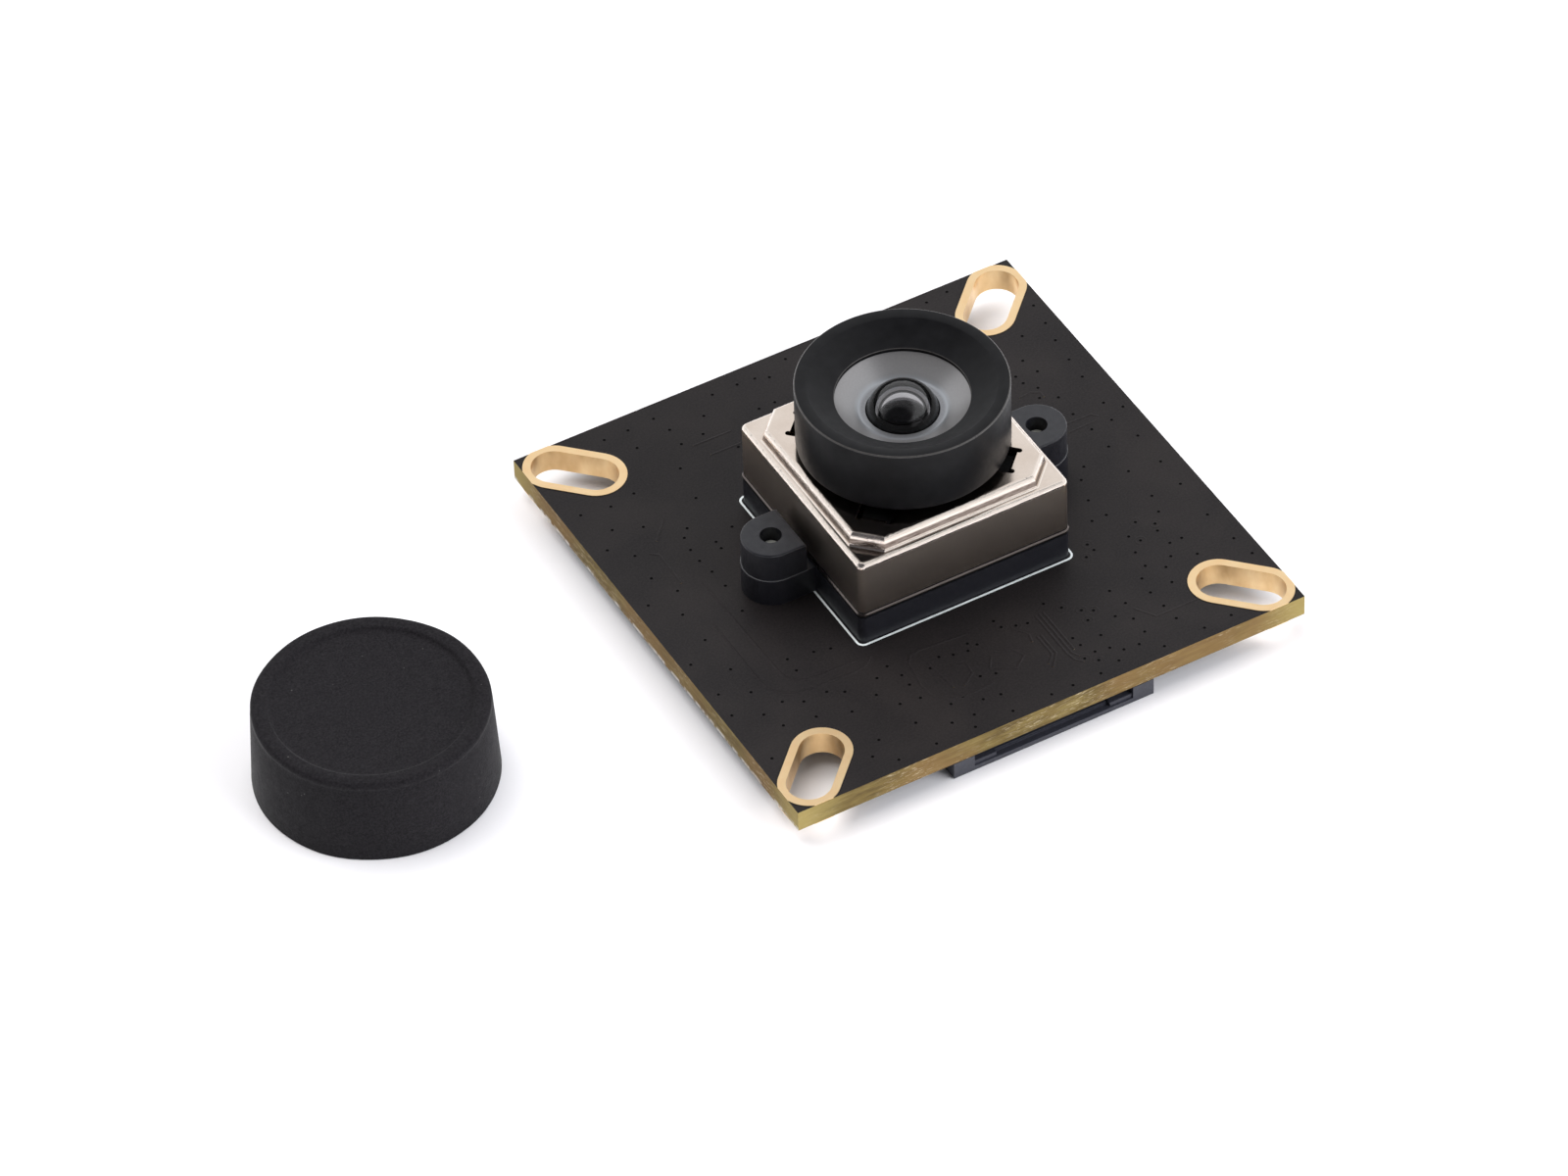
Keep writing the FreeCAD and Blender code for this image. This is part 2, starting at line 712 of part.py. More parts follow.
def make_terminals():
    terminals = []
    for side in (-1, 1):
        name = f"terminal_{(side + 1) // 2}"
        x = f"{side} * focus_terminal_spacing / 2"
        leg = box(name + "_leg", "focus_terminal_width", "focus_terminal_thickness",
                  "holder_top + focus_terminal_bite", x=x, y="terminal_set + focus_terminal_thickness / 2")
        foot = box(name + "_foot", "focus_terminal_width", "focus_terminal_foot", "focus_terminal_thickness",
                   x=x, y="terminal_set + focus_terminal_foot / 2")
        terminals.append(fuse(name, leg, foot))
    return group("focus_terminals", terminals)


def make_spring(name, level):
    """A flat leaf spring: an outer frame, an inner ring and four curved arms between them."""
    thick = "spring_thickness"
    side = "can_inner_side - 4 * base_clearance - can_rim_round"
    frame_radius = "(coil_radius + spring_frame_gap)"
    ring_outer = "(carrier_radius - spring_ring_gap)"
    arm_radius = f"(({frame_radius} + {ring_outer}) / 2)"
    plate = box(name + "_plate", side, side, thick, z=level)
    frame = cut(name + "_frame", plate, cylinder(name + "_frame_hole", frame_radius, thick, z=level))
    pieces = [frame, ring(name + "_ring", ring_outer, "collar_radius + spring_ring_gap", thick, level)]
    for turn in QUARTERS:
        arm = f"{name}_arm_{turn}"
        sector = cylinder(arm + "_sector", f"{arm_radius} + spring_arm_width / 2", thick, z=level)
        bind(sector, Angle="spring_arm_sweep")
        hollow = cylinder(arm + "_hollow", f"{arm_radius} - spring_arm_width / 2", thick, z=level)
        bow = turned_to(cut(arm + "_bow", sector, hollow), turn + 12)
        root_run = f"({arm_radius} - {ring_outer} + spring_arm_width)"
        root_bar = box(arm + "_root", root_run, "spring_arm_width", thick,
                       x=f"{ring_outer} - spring_arm_width / 2 + {root_run} / 2", y="spring_arm_width / 2",
                       z=level)
        tip_run = f"({frame_radius} - {arm_radius} + spring_arm_width)"
        tip_bar = box(arm + "_tip", tip_run, "spring_arm_width", thick,
                      x=f"{arm_radius} + {tip_run} / 2", y="-spring_arm_width / 2", z=level)
        far_end = turn + 12 + value("spring_arm_sweep")
        pieces += [bow, swung(root_bar, turn + 12), swung(tip_bar, far_end)]
    return fuse(name, *pieces)


def make_magnets():
    magnets = []
    for turn in QUARTERS:
        bar = box(f"magnet_{turn}_bar", "magnet_thickness", "magnet_length", "magnet_top - (lower_spring_top)",
                  x="coil_radius + magnet_gap + magnet_thickness / 2", z="lower_spring_top")
        magnets.append(swung(bar, turn))
    return group("focus_magnets", magnets)


def make_spring_spacer():
    side = "(can_inner_side - 2 * spacer_inset)"
    plate = box("spacer_plate", side, side, "spacer_height", z="upper_spring_top")
    opening_side = f"{side} - 2 * spacer_wall"
    opening = box("spacer_opening_form", opening_side, opening_side, "spacer_height", z="upper_spring_top")
    return cut("spring_spacer", plate, opening)


def make_carrier():
    """The bobbin: a flanged tube with a collar, and four stop lugs that reach under the can's notches."""
    tube = turned("carrier_tube", [
        ("carrier_bore", "lower_spring_top"),
        ("coil_radius", "lower_spring_top"),
        ("coil_radius", "lower_spring_top + carrier_flange"),
        ("carrier_radius", "lower_spring_top + carrier_flange"),
        ("carrier_radius", "magnet_top"),
        ("collar_radius", "magnet_top"),
        ("collar_radius", "carrier_top"),
        ("carrier_bore", "carrier_top"),
    ])
    lugs = []
    for turn in QUARTERS:
        reach = "(notch_reach - carrier_lug_gap - carrier_bore)"
        bar = box(f"carrier_lug_{turn}_bar", reach, "notch_width - 2 * carrier_lug_gap", "carrier_lug_height",
                  x=f"carrier_bore + {reach} / 2", z="carrier_top - carrier_lug_height")
        lugs.append(swung(bar, 45 + turn))
    blank = fuse("carrier_blank", tube, *lugs)
    return cut("lens_carrier", blank, cylinder("carrier_bore", "carrier_bore", "plateau_top"))


def make_coil():
    level = "(lower_spring_top + carrier_flange + coil_gap)"
    return ring("focus_coil", "coil_radius", "carrier_radius + coil_gap",
                f"magnet_top - coil_top_gap - {level}", level)


# Lens: barrel, glass, rings

def make_barrel():
    return turned("lens_barrel", [
        ("barrel_bore", "barrel_bottom"),
        ("neck_radius", "barrel_bottom"),
        ("neck_radius", "head_bottom"),
        ("head_radius - head_foot_edge", "head_bottom"),
        ("head_radius", "head_bottom + head_foot_edge"),
        ("head_radius", "head_top - head_edge"),
        ("head_radius - head_edge", "head_top"),
        ("head_radius - hood_land_width", "head_top - hood_land_drop"),
        ("hood_mouth_radius", "hood_mouth"),
        ("hood_mouth_radius", "seat"),
        ("barrel_bore", "seat"),
    ])


def lens_ball(name, radius, sag, apex, side):
    """A ball through the apex that falls away by the sag at the radius. Side 1 is above the apex, -1 below."""
    curve = f"(({radius}) ^ 2 + ({sag}) ^ 2) / (2 * ({sag}))"
    item = bind(doc.addObject("Part::Sphere", name), Radius=curve)
    return moved(item, z=f"({apex}) + {side} * ({curve})")


def bulge(name, radius, sag, rim, side):
    """The curved face that stands out from a lens's rim: up with side 1, down with side -1."""
    apex = f"({rim}) + {side} * ({sag})"
    column = cylinder(name + "_column", radius, sag, z=rim if side > 0 else apex)
    return common(name, lens_ball(name + "_ball", radius, sag, apex, -side), column)


def make_front_element():
    """A frosted dish round a polished dome, hollow behind."""
    groove = "(seat - front_groove_drop)"
    flange = turned("front_flange", [
        ("0", "front_back"),
        ("element_radius", "front_back"),
        ("element_radius", "seat"),
        ("hood_mouth_radius", "seat"),
        ("front_dish_inner", "seat - front_dish_drop"),
        ("front_dome_radius", groove),
        ("0", groove),
    ])
    dome = bulge("front_dome", "front_dome_radius", "front_dome_height", groove, 1)
    hollow = lens_ball("front_hollow", "front_hollow_radius", "front_hollow_depth",
                       "front_back + front_hollow_depth", -1)
    return cut("front_element", fuse("front_blank", flange, dome), hollow)


def make_second_element():
    """Hollow in front, behind the stop, and curved out at the back."""
    disc = cylinder("second_disc", "element_radius", "second_edge", z="second_back")
    rear = bulge("second_rear", "lens_clear_radius", "second_rear_sag", "second_back", -1)
    hollow = lens_ball("second_hollow", "lens_clear_radius", "second_front_sag",
                       "second_rim - second_front_sag", 1)
    return cut("second_element", fuse("second_blank", disc, rear), hollow)


def make_curved_out(name, rim, edge, front_sag, rear_sag):
    """A lens with a flat-sided rim, curved out on both faces. The rim's front face is at the given level."""
    back = f"{rim} - {edge}"
    disc = cylinder(name + "_disc", "element_radius", edge, z=back)
    front = bulge(name + "_front", "lens_clear_radius", front_sag, rim, 1)
    rear = bulge(name + "_rear", "lens_clear_radius", rear_sag, back, -1)
    return fuse(name, disc, front, rear)


def make_lens_stack():
    """Five rings and four lenses, from the front. Each ring rests on a lens's flat rim."""
    return [
        make_front_element(),
        ring("front_spacer", "element_radius", "spacer_bore", "front_spacer_height", "stop_top"),
        ring("aperture_stop", "element_radius", "stop_bore", "stop_thickness", "second_rim"),
        make_second_element(),
        ring("middle_spacer", "element_radius", "spacer_bore", "second_back - (third_rim)", "third_rim"),
        make_curved_out("third_element", "third_rim", "third_edge", "third_front_sag", "third_rear_sag"),
        ring("rear_spacer", "element_radius", "spacer_bore", "third_back - (rear_rim)", "rear_rim"),
        make_curved_out("rear_element", "rear_rim", "rear_edge", "rear_front_sag", "rear_rear_sag"),
        ring("lens_retainer", "element_radius", "spacer_bore", "retainer_height",
             "rear_back - retainer_height"),
    ]


# Flat-cable connector

def span(name, width, near, far, bottom, top, x="0"):
    """A box between two places along Y and two levels."""
    return box(name, width, f"({far}) - ({near})", f"({top}) - ({bottom})", x=x, y=f"(({near}) + ({far})) / 2",
               z=bottom)


def contact_places():
    """The cable's tracks, evenly spaced about the connector's middle."""
    count = int(value("contact_count"))
    return [f"{index - (count - 1) / 2} * contact_pitch" for index in range(count)]


def runner_place(side):
    return f"{side} * (connector_length / 2 - lock_runner_inset - lock_runner_width / 2)"


def make_cable_housing():
    block = span("housing_block", "connector_length", "housing_front", "housing_back",
                 "underside - connector_height", "underside")
    mouth = span("housing_mouth", "cable_slot_width", "housing_front", "housing_front + cable_slot_depth",
                 "slot_bottom", "slot_top")
    tools = [mouth]
    for side in (-1, 1):
        tools.append(span(f"housing_runner_bay_{side + 1}", "lock_runner_width + 2 * lock_fit", "housing_front",
                          "housing_front + lock_runner_length + lock_fit",
                          "runner_middle - lock_runner_height / 2 - lock_fit",
                          "runner_middle + lock_runner_height / 2 + lock_fit", x=runner_place(side)))
    for index, x in enumerate(contact_places()):
        tools.append(span(f"housing_contact_bay_{index}", "contact_width + 2 * contact_fit",
                          "housing_front + cable_slot_depth - contact_fit", "housing_back",
                          "slot_top - contact_thickness - contact_fit", "slot_top + contact_fit", x=x))
    return cut("cable_housing", block, *tools)


def make_cable_slider():
    """The pull-out lock: two end blocks, a lip under the cable, a tongue and two runners."""
    back = "connector_front + lock_depth"
    bottom = "underside - connector_height + lock_fit"
    tongue_bottom = "slot_bottom + lock_fit"
    pieces = [
        span("lock_lip", "cable_slot_width + lock_fit", "connector_front", back, bottom,
             f"{bottom} + lock_lip_height"),
        span("lock_tongue", "cable_slot_width - 2 * lock_tongue_gap", f"{back} - lock_depth / 2",
             f"{back} + lock_tongue_length", tongue_bottom, f"{tongue_bottom} + lock_tongue_height"),
    ]
    for side in (-1, 1):
        middle = f"{side} * (connector_length / 2 - connector_end / 2)"
        pieces.append(span(f"lock_end_{side + 1}", "connector_end", "connector_front", back, bottom,
                           "underside - lock_fit", x=middle))
        pieces.append(span(f"lock_runner_{side + 1}", "lock_runner_width", f"{back} - lock_depth / 2",
                           "housing_front + lock_runner_length", "runner_middle - lock_runner_height / 2",
                           "runner_middle + lock_runner_height / 2", x=runner_place(side)))
    return fuse("cable_slider", *pieces)


def make_contacts():
    """Each contact lies along the roof of the mouth, runs out at the back and steps up to the board."""
    contacts = []
    for index, x in enumerate(contact_places()):
        name = f"contact_{index}"
        strip = span(name + "_strip", "contact_width", "housing_front + contact_start",
                     "housing_back + contact_thickness", "slot_top - contact_thickness", "slot_top", x=x)
        riser = span(name + "_riser", "contact_width", "housing_back + contact_fit",
                     "housing_back + contact_thickness", "slot_top - contact_thickness", "underside", x=x)
        foot = span(name + "_foot", "contact_width", "housing_back + contact_fit",
                    "housing_back + contact_tail", "underside - contact_thickness * 0.75", "underside", x=x)
        contacts.append(fuse(name, strip, riser, foot))
    return group("cable_contacts", contacts)


def make_tabs():
    tabs = []
    for side in (-1, 1):
        near = "housing_front + tab_setback"
        tabs.append(span(f"tab_{side + 1}", "tab_width", near, f"{near} + tab_length",
                         "underside - tab_thickness", "underside",
                         x=f"{side} * (connector_length / 2 + tab_width / 2)"))
    return group("cable_tabs", tabs)


# Parts soldered to the underside

REGULATOR_COUNT = 3
CAPACITOR_COLUMNS = 5
CAPACITOR_ROWS = 2
RESISTOR_COUNT = 6


def hung(name, length, width, height, x, y, lift="0"):
    """A box that hangs under the board."""
    return box(name, length, width, height, x=x, y=y, z=f"underside - ({lift}) - ({height})")


def make_regulators():
    cases, leads = [], []
    for index in range(REGULATOR_COUNT):
        x = f"{index - (REGULATOR_COUNT - 1) / 2} * regulator_spacing"
        cases.append(hung(f"regulator_{index}", "regulator_length", "regulator_width", "regulator_height",
                          x, "regulator_row", "regulator_lift"))
        for side, places in ((-1, (-1, 0, 1)), (1, (-1, 1))):
            for place in places:
                name = f"regulator_{index}_lead_{side + 1}_{place + 1}"
                leads.append(make_lead(name, f"({x}) + {place} * regulator_lead_pitch", side))
    return [group("regulators", cases), group("regulator_leads", leads)]


def make_lead(name, x, side):
    """A gull-wing lead: out of the middle of the case's wall, down to the board, and outwards as a foot."""
    wall = f"regulator_row + {side} * regulator_width / 2"
    thick = "regulator_lead_thickness"
    drop = "regulator_lift + regulator_height / 2"
    shoulder = hung(name + "_shoulder", "regulator_lead_width", f"2 * {thick}", thick, x,
                    f"{wall} + {side} * {thick}", drop)
    riser = hung(name + "_riser", "regulator_lead_width", thick, f"{drop} + {thick}", x,
                 f"{wall} + {side} * {thick} * 1.5")
    foot = hung(name + "_foot", "regulator_lead_width", f"regulator_lead_reach - {thick}", thick, x,
                f"{wall} + {side} * (regulator_lead_reach + {thick}) / 2")
    return fuse(name, shoulder, riser, foot)


def make_chip(name, length, width, height, x, y):
    """A chip part lying along Y: its body, and a metal cup over each end."""
    core = hung(name, width, f"({length}) - 2 * chip_end", f"({height}) - chip_end_skin", x, y)
    ends = [
        hung(f"{name}_end_{side + 1}", f"({width}) + 2 * chip_end_skin", "chip_end", height, x,
             f"({y}) + {side} * (({length}) / 2 - chip_end / 2)")
        for side in (-1, 1)
    ]
    return core, ends


def make_chips(name, end_name, places, length, width, height):
    cores, ends = [], []
    for index, (x, y) in enumerate(places):
        core, caps = make_chip(f"{name}_{index}", length, width, height, x, y)
        cores.append(core)
        ends += caps
    return [group(name, cores), group(end_name, ends)]


def make_capacitors():
    places = [
        (f"{column - (CAPACITOR_COLUMNS - 1) / 2} * capacitor_pitch",
         f"-capacitor_row - {line} * capacitor_row_gap")
        for line in range(CAPACITOR_ROWS) for column in range(CAPACITOR_COLUMNS)
    ]
    return make_chips("capacitors", "capacitor_ends", places, "capacitor_length", "capacitor_width",
                      "capacitor_height")


def make_resistors():
    places = [
        (f"resistor_across + {index - (RESISTOR_COUNT - 1) / 2} * resistor_pitch", "resistor_row")
        for index in range(RESISTOR_COUNT)
    ]
    return make_chips("resistors", "resistor_ends", places, "resistor_length", "resistor_width",
                      "resistor_height")


def make_oscillator():
    return hung("oscillator", "oscillator_width", "oscillator_length", "oscillator_height", "oscillator_across",
                "oscillator_along")


# Rubber lens cap, open side down on the surface that the connector stands on

def make_cap():
    item = body("lens_cap")
    grip = "(cap_foot_radius - cap_wall)"
    revolve(item, [
        (f"{grip} + cap_mouth_edge", "0"),
        ("cap_foot_radius", "0"),
        ("cap_top_radius", "cap_height"),
        ("cap_recess_radius", "cap_height"),
        ("cap_recess_radius", "cap_height - cap_recess_depth"),
        ("0", "cap_height - cap_recess_depth"),
        ("0", "cap_depth"),
        (grip, "cap_depth"),
        (grip, "cap_mouth_edge"),
    ])
    at_top = level_at(value("cap_height"))
    rim_reach = value("cap_top_radius") - 1e-3
    step_reach = value("cap_recess_radius") + 1e-3
    soften(item, lambda edge: at_top(edge) and edge.BoundBox.XMax > rim_reach, "cap_rim_round")
    soften(item, lambda edge: at_top(edge) and edge.BoundBox.XMax < step_reach, "cap_recess_round")
    return moved(item, "cap_across", "cap_along", "underside - connector_height")


pieces = [
    make_board(),
    make_slot_plating(),
    make_holder(),
    make_screws(),
    make_filter(),
    *make_sensor(),
    make_can(),
    make_base(),
    make_terminals(),
    make_spring("lower_spring", "base_top"),
    make_spring("upper_spring", "magnet_top"),
    make_spring_spacer(),
    make_magnets(),
    make_carrier(),
    make_coil(),
    make_barrel(),
    *make_lens_stack(),
    make_cable_housing(),
    make_cable_slider(),
    make_contacts(),
    make_tabs(),
    *make_regulators(),
    make_oscillator(),
    *make_capacitors(),
    *make_resistors(),
    make_cap(),
]
doc.recompute()

for item in doc.Objects:
    if "Invalid" in item.State or "Error" in item.State:
        raise RuntimeError(f"{item.Label} did not build")
for piece in pieces:
    if piece.Shape.isNull() or not piece.Shape.isValid():
        raise RuntimeError(f"{piece.Label} has no valid shape")

os.makedirs("parts", exist_ok=True)
for piece in pieces:
    piece.Shape.exportStep(f"parts/{piece.Label}.step")
    print(f"{piece.Label}: {len(piece.Shape.Solids)} solid(s), {piece.Shape.Volume:.3f} mm3")
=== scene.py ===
"""Looks of the camera module: materials, printed outline, board texture, lens glass, light and camera."""
import json
import math
import random

import bmesh
import bpy
from mathutils import Matrix, Vector


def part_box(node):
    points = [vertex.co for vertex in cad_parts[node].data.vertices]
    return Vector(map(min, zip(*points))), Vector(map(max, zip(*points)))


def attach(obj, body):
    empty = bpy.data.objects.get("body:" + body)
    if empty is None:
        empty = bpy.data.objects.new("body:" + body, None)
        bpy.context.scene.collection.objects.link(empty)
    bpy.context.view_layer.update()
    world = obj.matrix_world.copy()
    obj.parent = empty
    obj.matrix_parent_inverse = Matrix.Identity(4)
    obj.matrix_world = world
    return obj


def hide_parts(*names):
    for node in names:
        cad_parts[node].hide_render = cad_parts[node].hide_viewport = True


MM = 0.001
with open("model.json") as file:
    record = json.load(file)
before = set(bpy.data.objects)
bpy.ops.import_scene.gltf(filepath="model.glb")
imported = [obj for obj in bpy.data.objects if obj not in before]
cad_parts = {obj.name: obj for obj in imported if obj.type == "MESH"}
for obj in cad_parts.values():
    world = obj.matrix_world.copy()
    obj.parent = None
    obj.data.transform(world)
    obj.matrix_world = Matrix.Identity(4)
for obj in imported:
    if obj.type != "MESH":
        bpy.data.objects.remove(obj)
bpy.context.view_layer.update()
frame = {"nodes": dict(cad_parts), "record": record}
nodes = frame["nodes"]

# Millimetres
BOARD_SIDE = 38.0
UNDERSIDE = -1.6
GLASS_RADIUS = 4.70
GLASS_SEAT = 11.72


# Node materials

class Look:
    """A material on one Principled shader. The coordinates are the row frame's, in millimetres."""

    def __init__(self, name, **sockets):
        self.material = bpy.data.materials.new(name)
        self.material.use_nodes = True
        self.tree = self.material.node_tree
        self.shader = self.tree.nodes["Principled BSDF"]
        place = self.tree.nodes.new("ShaderNodeTexCoord").outputs["Object"]
        self.place = self.vector("SCALE", place, scale=1 / MM)
        for socket, setting in sockets.items():
            self.set(socket.replace("_", " "), setting)

    def set(self, socket, setting, node=None):
        target = (node or self.shader).inputs[socket]
        if isinstance(setting, bpy.types.NodeSocket):
            self.tree.links.new(setting, target)
        elif isinstance(setting, tuple) and len(setting) == 3 and target.type == "RGBA":
            target.default_value = (*setting, 1.0)
        else:
            target.default_value = setting
        return self

    def vector(self, operation, a, b=None, scale=None):
        node = self.tree.nodes.new("ShaderNodeVectorMath")
        node.operation = operation
        self.set(0, a, node)
        if b is not None:
            self.set(1, b, node)
        if scale is not None:
            node.inputs["Scale"].default_value = scale
        return node.outputs["Value"] if operation == "LENGTH" else node.outputs[0]

    def maths(self, operation, a, b=0.0):
        node = self.tree.nodes.new("ShaderNodeMath")
        node.operation = operation
        self.set(0, a, node)
        self.set(1, b, node)
        return node.outputs[0]

    def axis(self, letter, source=None):
        node = self.tree.nodes.new("ShaderNodeSeparateXYZ")
        self.set(0, source or self.place, node)
        return node.outputs[letter]

    def normal(self, letter):
        node = self.tree.nodes.new("ShaderNodeTexCoord")
        return self.axis(letter, node.outputs["Normal"])

    def noise(self, scale, detail=2.0, rough=0.5, stretch=None, warp=0.0):
        node = self.tree.nodes.new("ShaderNodeTexNoise")
        place = self.vector("MULTIPLY", self.place, stretch) if stretch else self.place
        self.set("Vector", place, node)
        settings = {"Scale": scale, "Detail": detail, "Roughness": rough, "Distortion": warp}
        for socket, setting in settings.items():
            node.inputs[socket].default_value = setting
        return node.outputs["Fac"]

    def cells(self, scale):
        node = self.tree.nodes.new("ShaderNodeTexVoronoi")
        self.set("Vector", self.place, node)
        node.inputs["Scale"].default_value = scale
        return node.outputs["Distance"]

    def ramp(self, value, *stops):
        """Stops are (position, colour) or (position, grey)."""
        node = self.tree.nodes.new("ShaderNodeValToRGB")
        self.set("Fac", value, node)
        points = node.color_ramp.elements
        while len(points) < len(stops):
            points.new(0.5)
        for point, (position, colour) in zip(points, stops):
            point.position = position
            point.color = (*colour, 1.0) if isinstance(colour, tuple) else (colour, colour, colour, 1.0)
        return node.outputs["Color"]

    def mix(self, amount, a, b):
        node = self.tree.nodes.new("ShaderNodeMix")
        node.data_type = "RGBA"
        self.set(0, amount, node)
        self.set(6, a, node)
        self.set(7, b, node)
        return node.outputs[2]

    def bump(self, *layers):
        """Layers are (height, depth in millimetres, strength)."""
        below = None
        for height, depth, strength in layers:
            node = self.tree.nodes.new("ShaderNodeBump")
            node.inputs["Strength"].default_value = strength
            node.inputs["Distance"].default_value = depth * MM
            self.set("Height", height, node)
            if below:
                self.set("Normal", below, node)
            below = node.outputs["Normal"]
        return self.set("Normal", below)


def board_look():
    """Matt black mask on both faces, and bare glass-epoxy with pale fibres on the cut edges."""
    look = Look("black_mask_board", Specular_IOR_Level=0.16)
    face = look.ramp(look.maths("ABSOLUTE", look.normal("Z")), (0.45, 0.0), (0.55, 1.0))
    patches = look.ramp(look.noise(0.16, 3.0, 0.55, warp=0.4), (0.38, (0.0090, 0.0078, 0.0083)),
                        (0.66, (0.0142, 0.0120, 0.0120)))
    grain = look.ramp(look.noise(7.0, 3.0, 0.7), (0.38, 0.0), (0.66, 0.45))
    mask = look.mix(grain, patches, (0.026, 0.0225, 0.023))
    layers = look.ramp(look.noise(1.1, 3.0, 0.6, (0.35, 0.35, 3.2)), (0.30, (0.090, 0.060, 0.022)),
                       (0.55, (0.165, 0.118, 0.040)), (0.75, (0.235, 0.180, 0.066)))
    fibres = look.ramp(look.noise(2.4, 4.0, 0.62, (0.8, 0.8, 4.6), 0.6), (0.54, 0.0), (0.66, 1.0))
    fraying = look.ramp(look.noise(0.30, 2.0), (0.40, 0.05), (0.62, 0.75))
    warmth = look.ramp(look.noise(0.13, 2.0), (0.42, 0.0), (0.60, 0.55))
    layers = look.mix(warmth, layers, (0.215, 0.125, 0.050))
    edge = look.mix(look.maths("MULTIPLY", fibres, fraying), layers, (0.50, 0.42, 0.28))
    # Painted highlight: the cut edge is drawn lighter and more even towards each corner of the board.
    reach = look.maths("ADD", look.maths("ABSOLUTE", look.axis("X")), look.maths("ABSOLUTE", look.axis("Y")))
    tips = look.ramp(look.maths("DIVIDE", reach, BOARD_SIDE), (0.90, 0.0), (0.985, 0.75))
    edge = look.mix(tips, edge, (0.36, 0.285, 0.100))
    depth = look.ramp(look.maths("DIVIDE", look.axis("Z"), UNDERSIDE), (0.82, 0.0), (0.90, 1.0))
    burr = look.ramp(look.noise(1.3, 4.0, 0.7, (0.6, 0.6, 0.1)), (0.46, 0.0), (0.56, 1.0))
    side = look.ramp(look.maths("ABSOLUTE", look.normal("X")), (0.5, 0.0), (0.6, 1.0))
    burr = look.maths("MULTIPLY", look.maths("MULTIPLY", burr, depth), look.maths("MULTIPLY", side, 0.8))
    edge = look.mix(burr, edge, (0.62, 0.60, 0.56))
    look.set("Base Color", look.mix(face, edge, mask))
    look.set("Roughness", look.ramp(face, (0.0, 0.72), (1.0, 0.46)))
    return look.bump((look.noise(9.0, 3.0), 0.006, 0.35), (look.noise(1.6, 2.0), 0.004, 0.15))


def gold_look():
    """Pale immersion gold, even on the lands and mottled down the slots. The darker colour on the slot walls is
    partly painted shade.
    """
    look = Look("immersion_gold", Metallic=1.0)
    land = look.ramp(look.maths("ABSOLUTE", look.normal("Z")), (0.4, 0.0), (0.6, 1.0))
    tone = look.ramp(look.noise(0.7, 4.0, 0.6), (0.30, (0.97, 0.68, 0.37)), (0.70, (1.00, 0.76, 0.45)))
    # Slot walls: mottled plating, drawn darker as painted shade inside the slots.
    wall = look.ramp(look.noise(0.9, 3.0, 0.5, (1, 1, 0.5)), (0.30, (0.76, 0.51, 0.25)),
                     (0.55, (0.90, 0.65, 0.35)), (0.75, (1.00, 0.77, 0.46)))
    look.set("Base Color", look.mix(land, wall, tone))
    look.set("Roughness", look.ramp(land, (0.0, 0.34), (1.0, 0.42)))
    return look.bump((look.noise(6.0, 4.0), 0.010, 0.35))


def moulding_look(name, colour, roughness, grain=7.0, depth=0.008, specular=0.5):
    """Moulded plastic with a fine spark-eroded grain."""
    look = Look(name, Specular_IOR_Level=specular)
    light = tuple(min(1.0, channel * 1.7 + 0.002) for channel in colour)
    speckle = look.ramp(look.noise(6.0, 4.0, 0.75), (0.38, 0.0), (0.7, 0.8))
    look.set("Base Color", look.mix(speckle, colour, light))
    look.set("Roughness", look.ramp(look.noise(2.0, 3.0), (0.3, roughness - 0.05), (0.7, roughness + 0.07)))
    return look.bump((look.noise(grain, 3.0, 0.6), depth, 0.45))


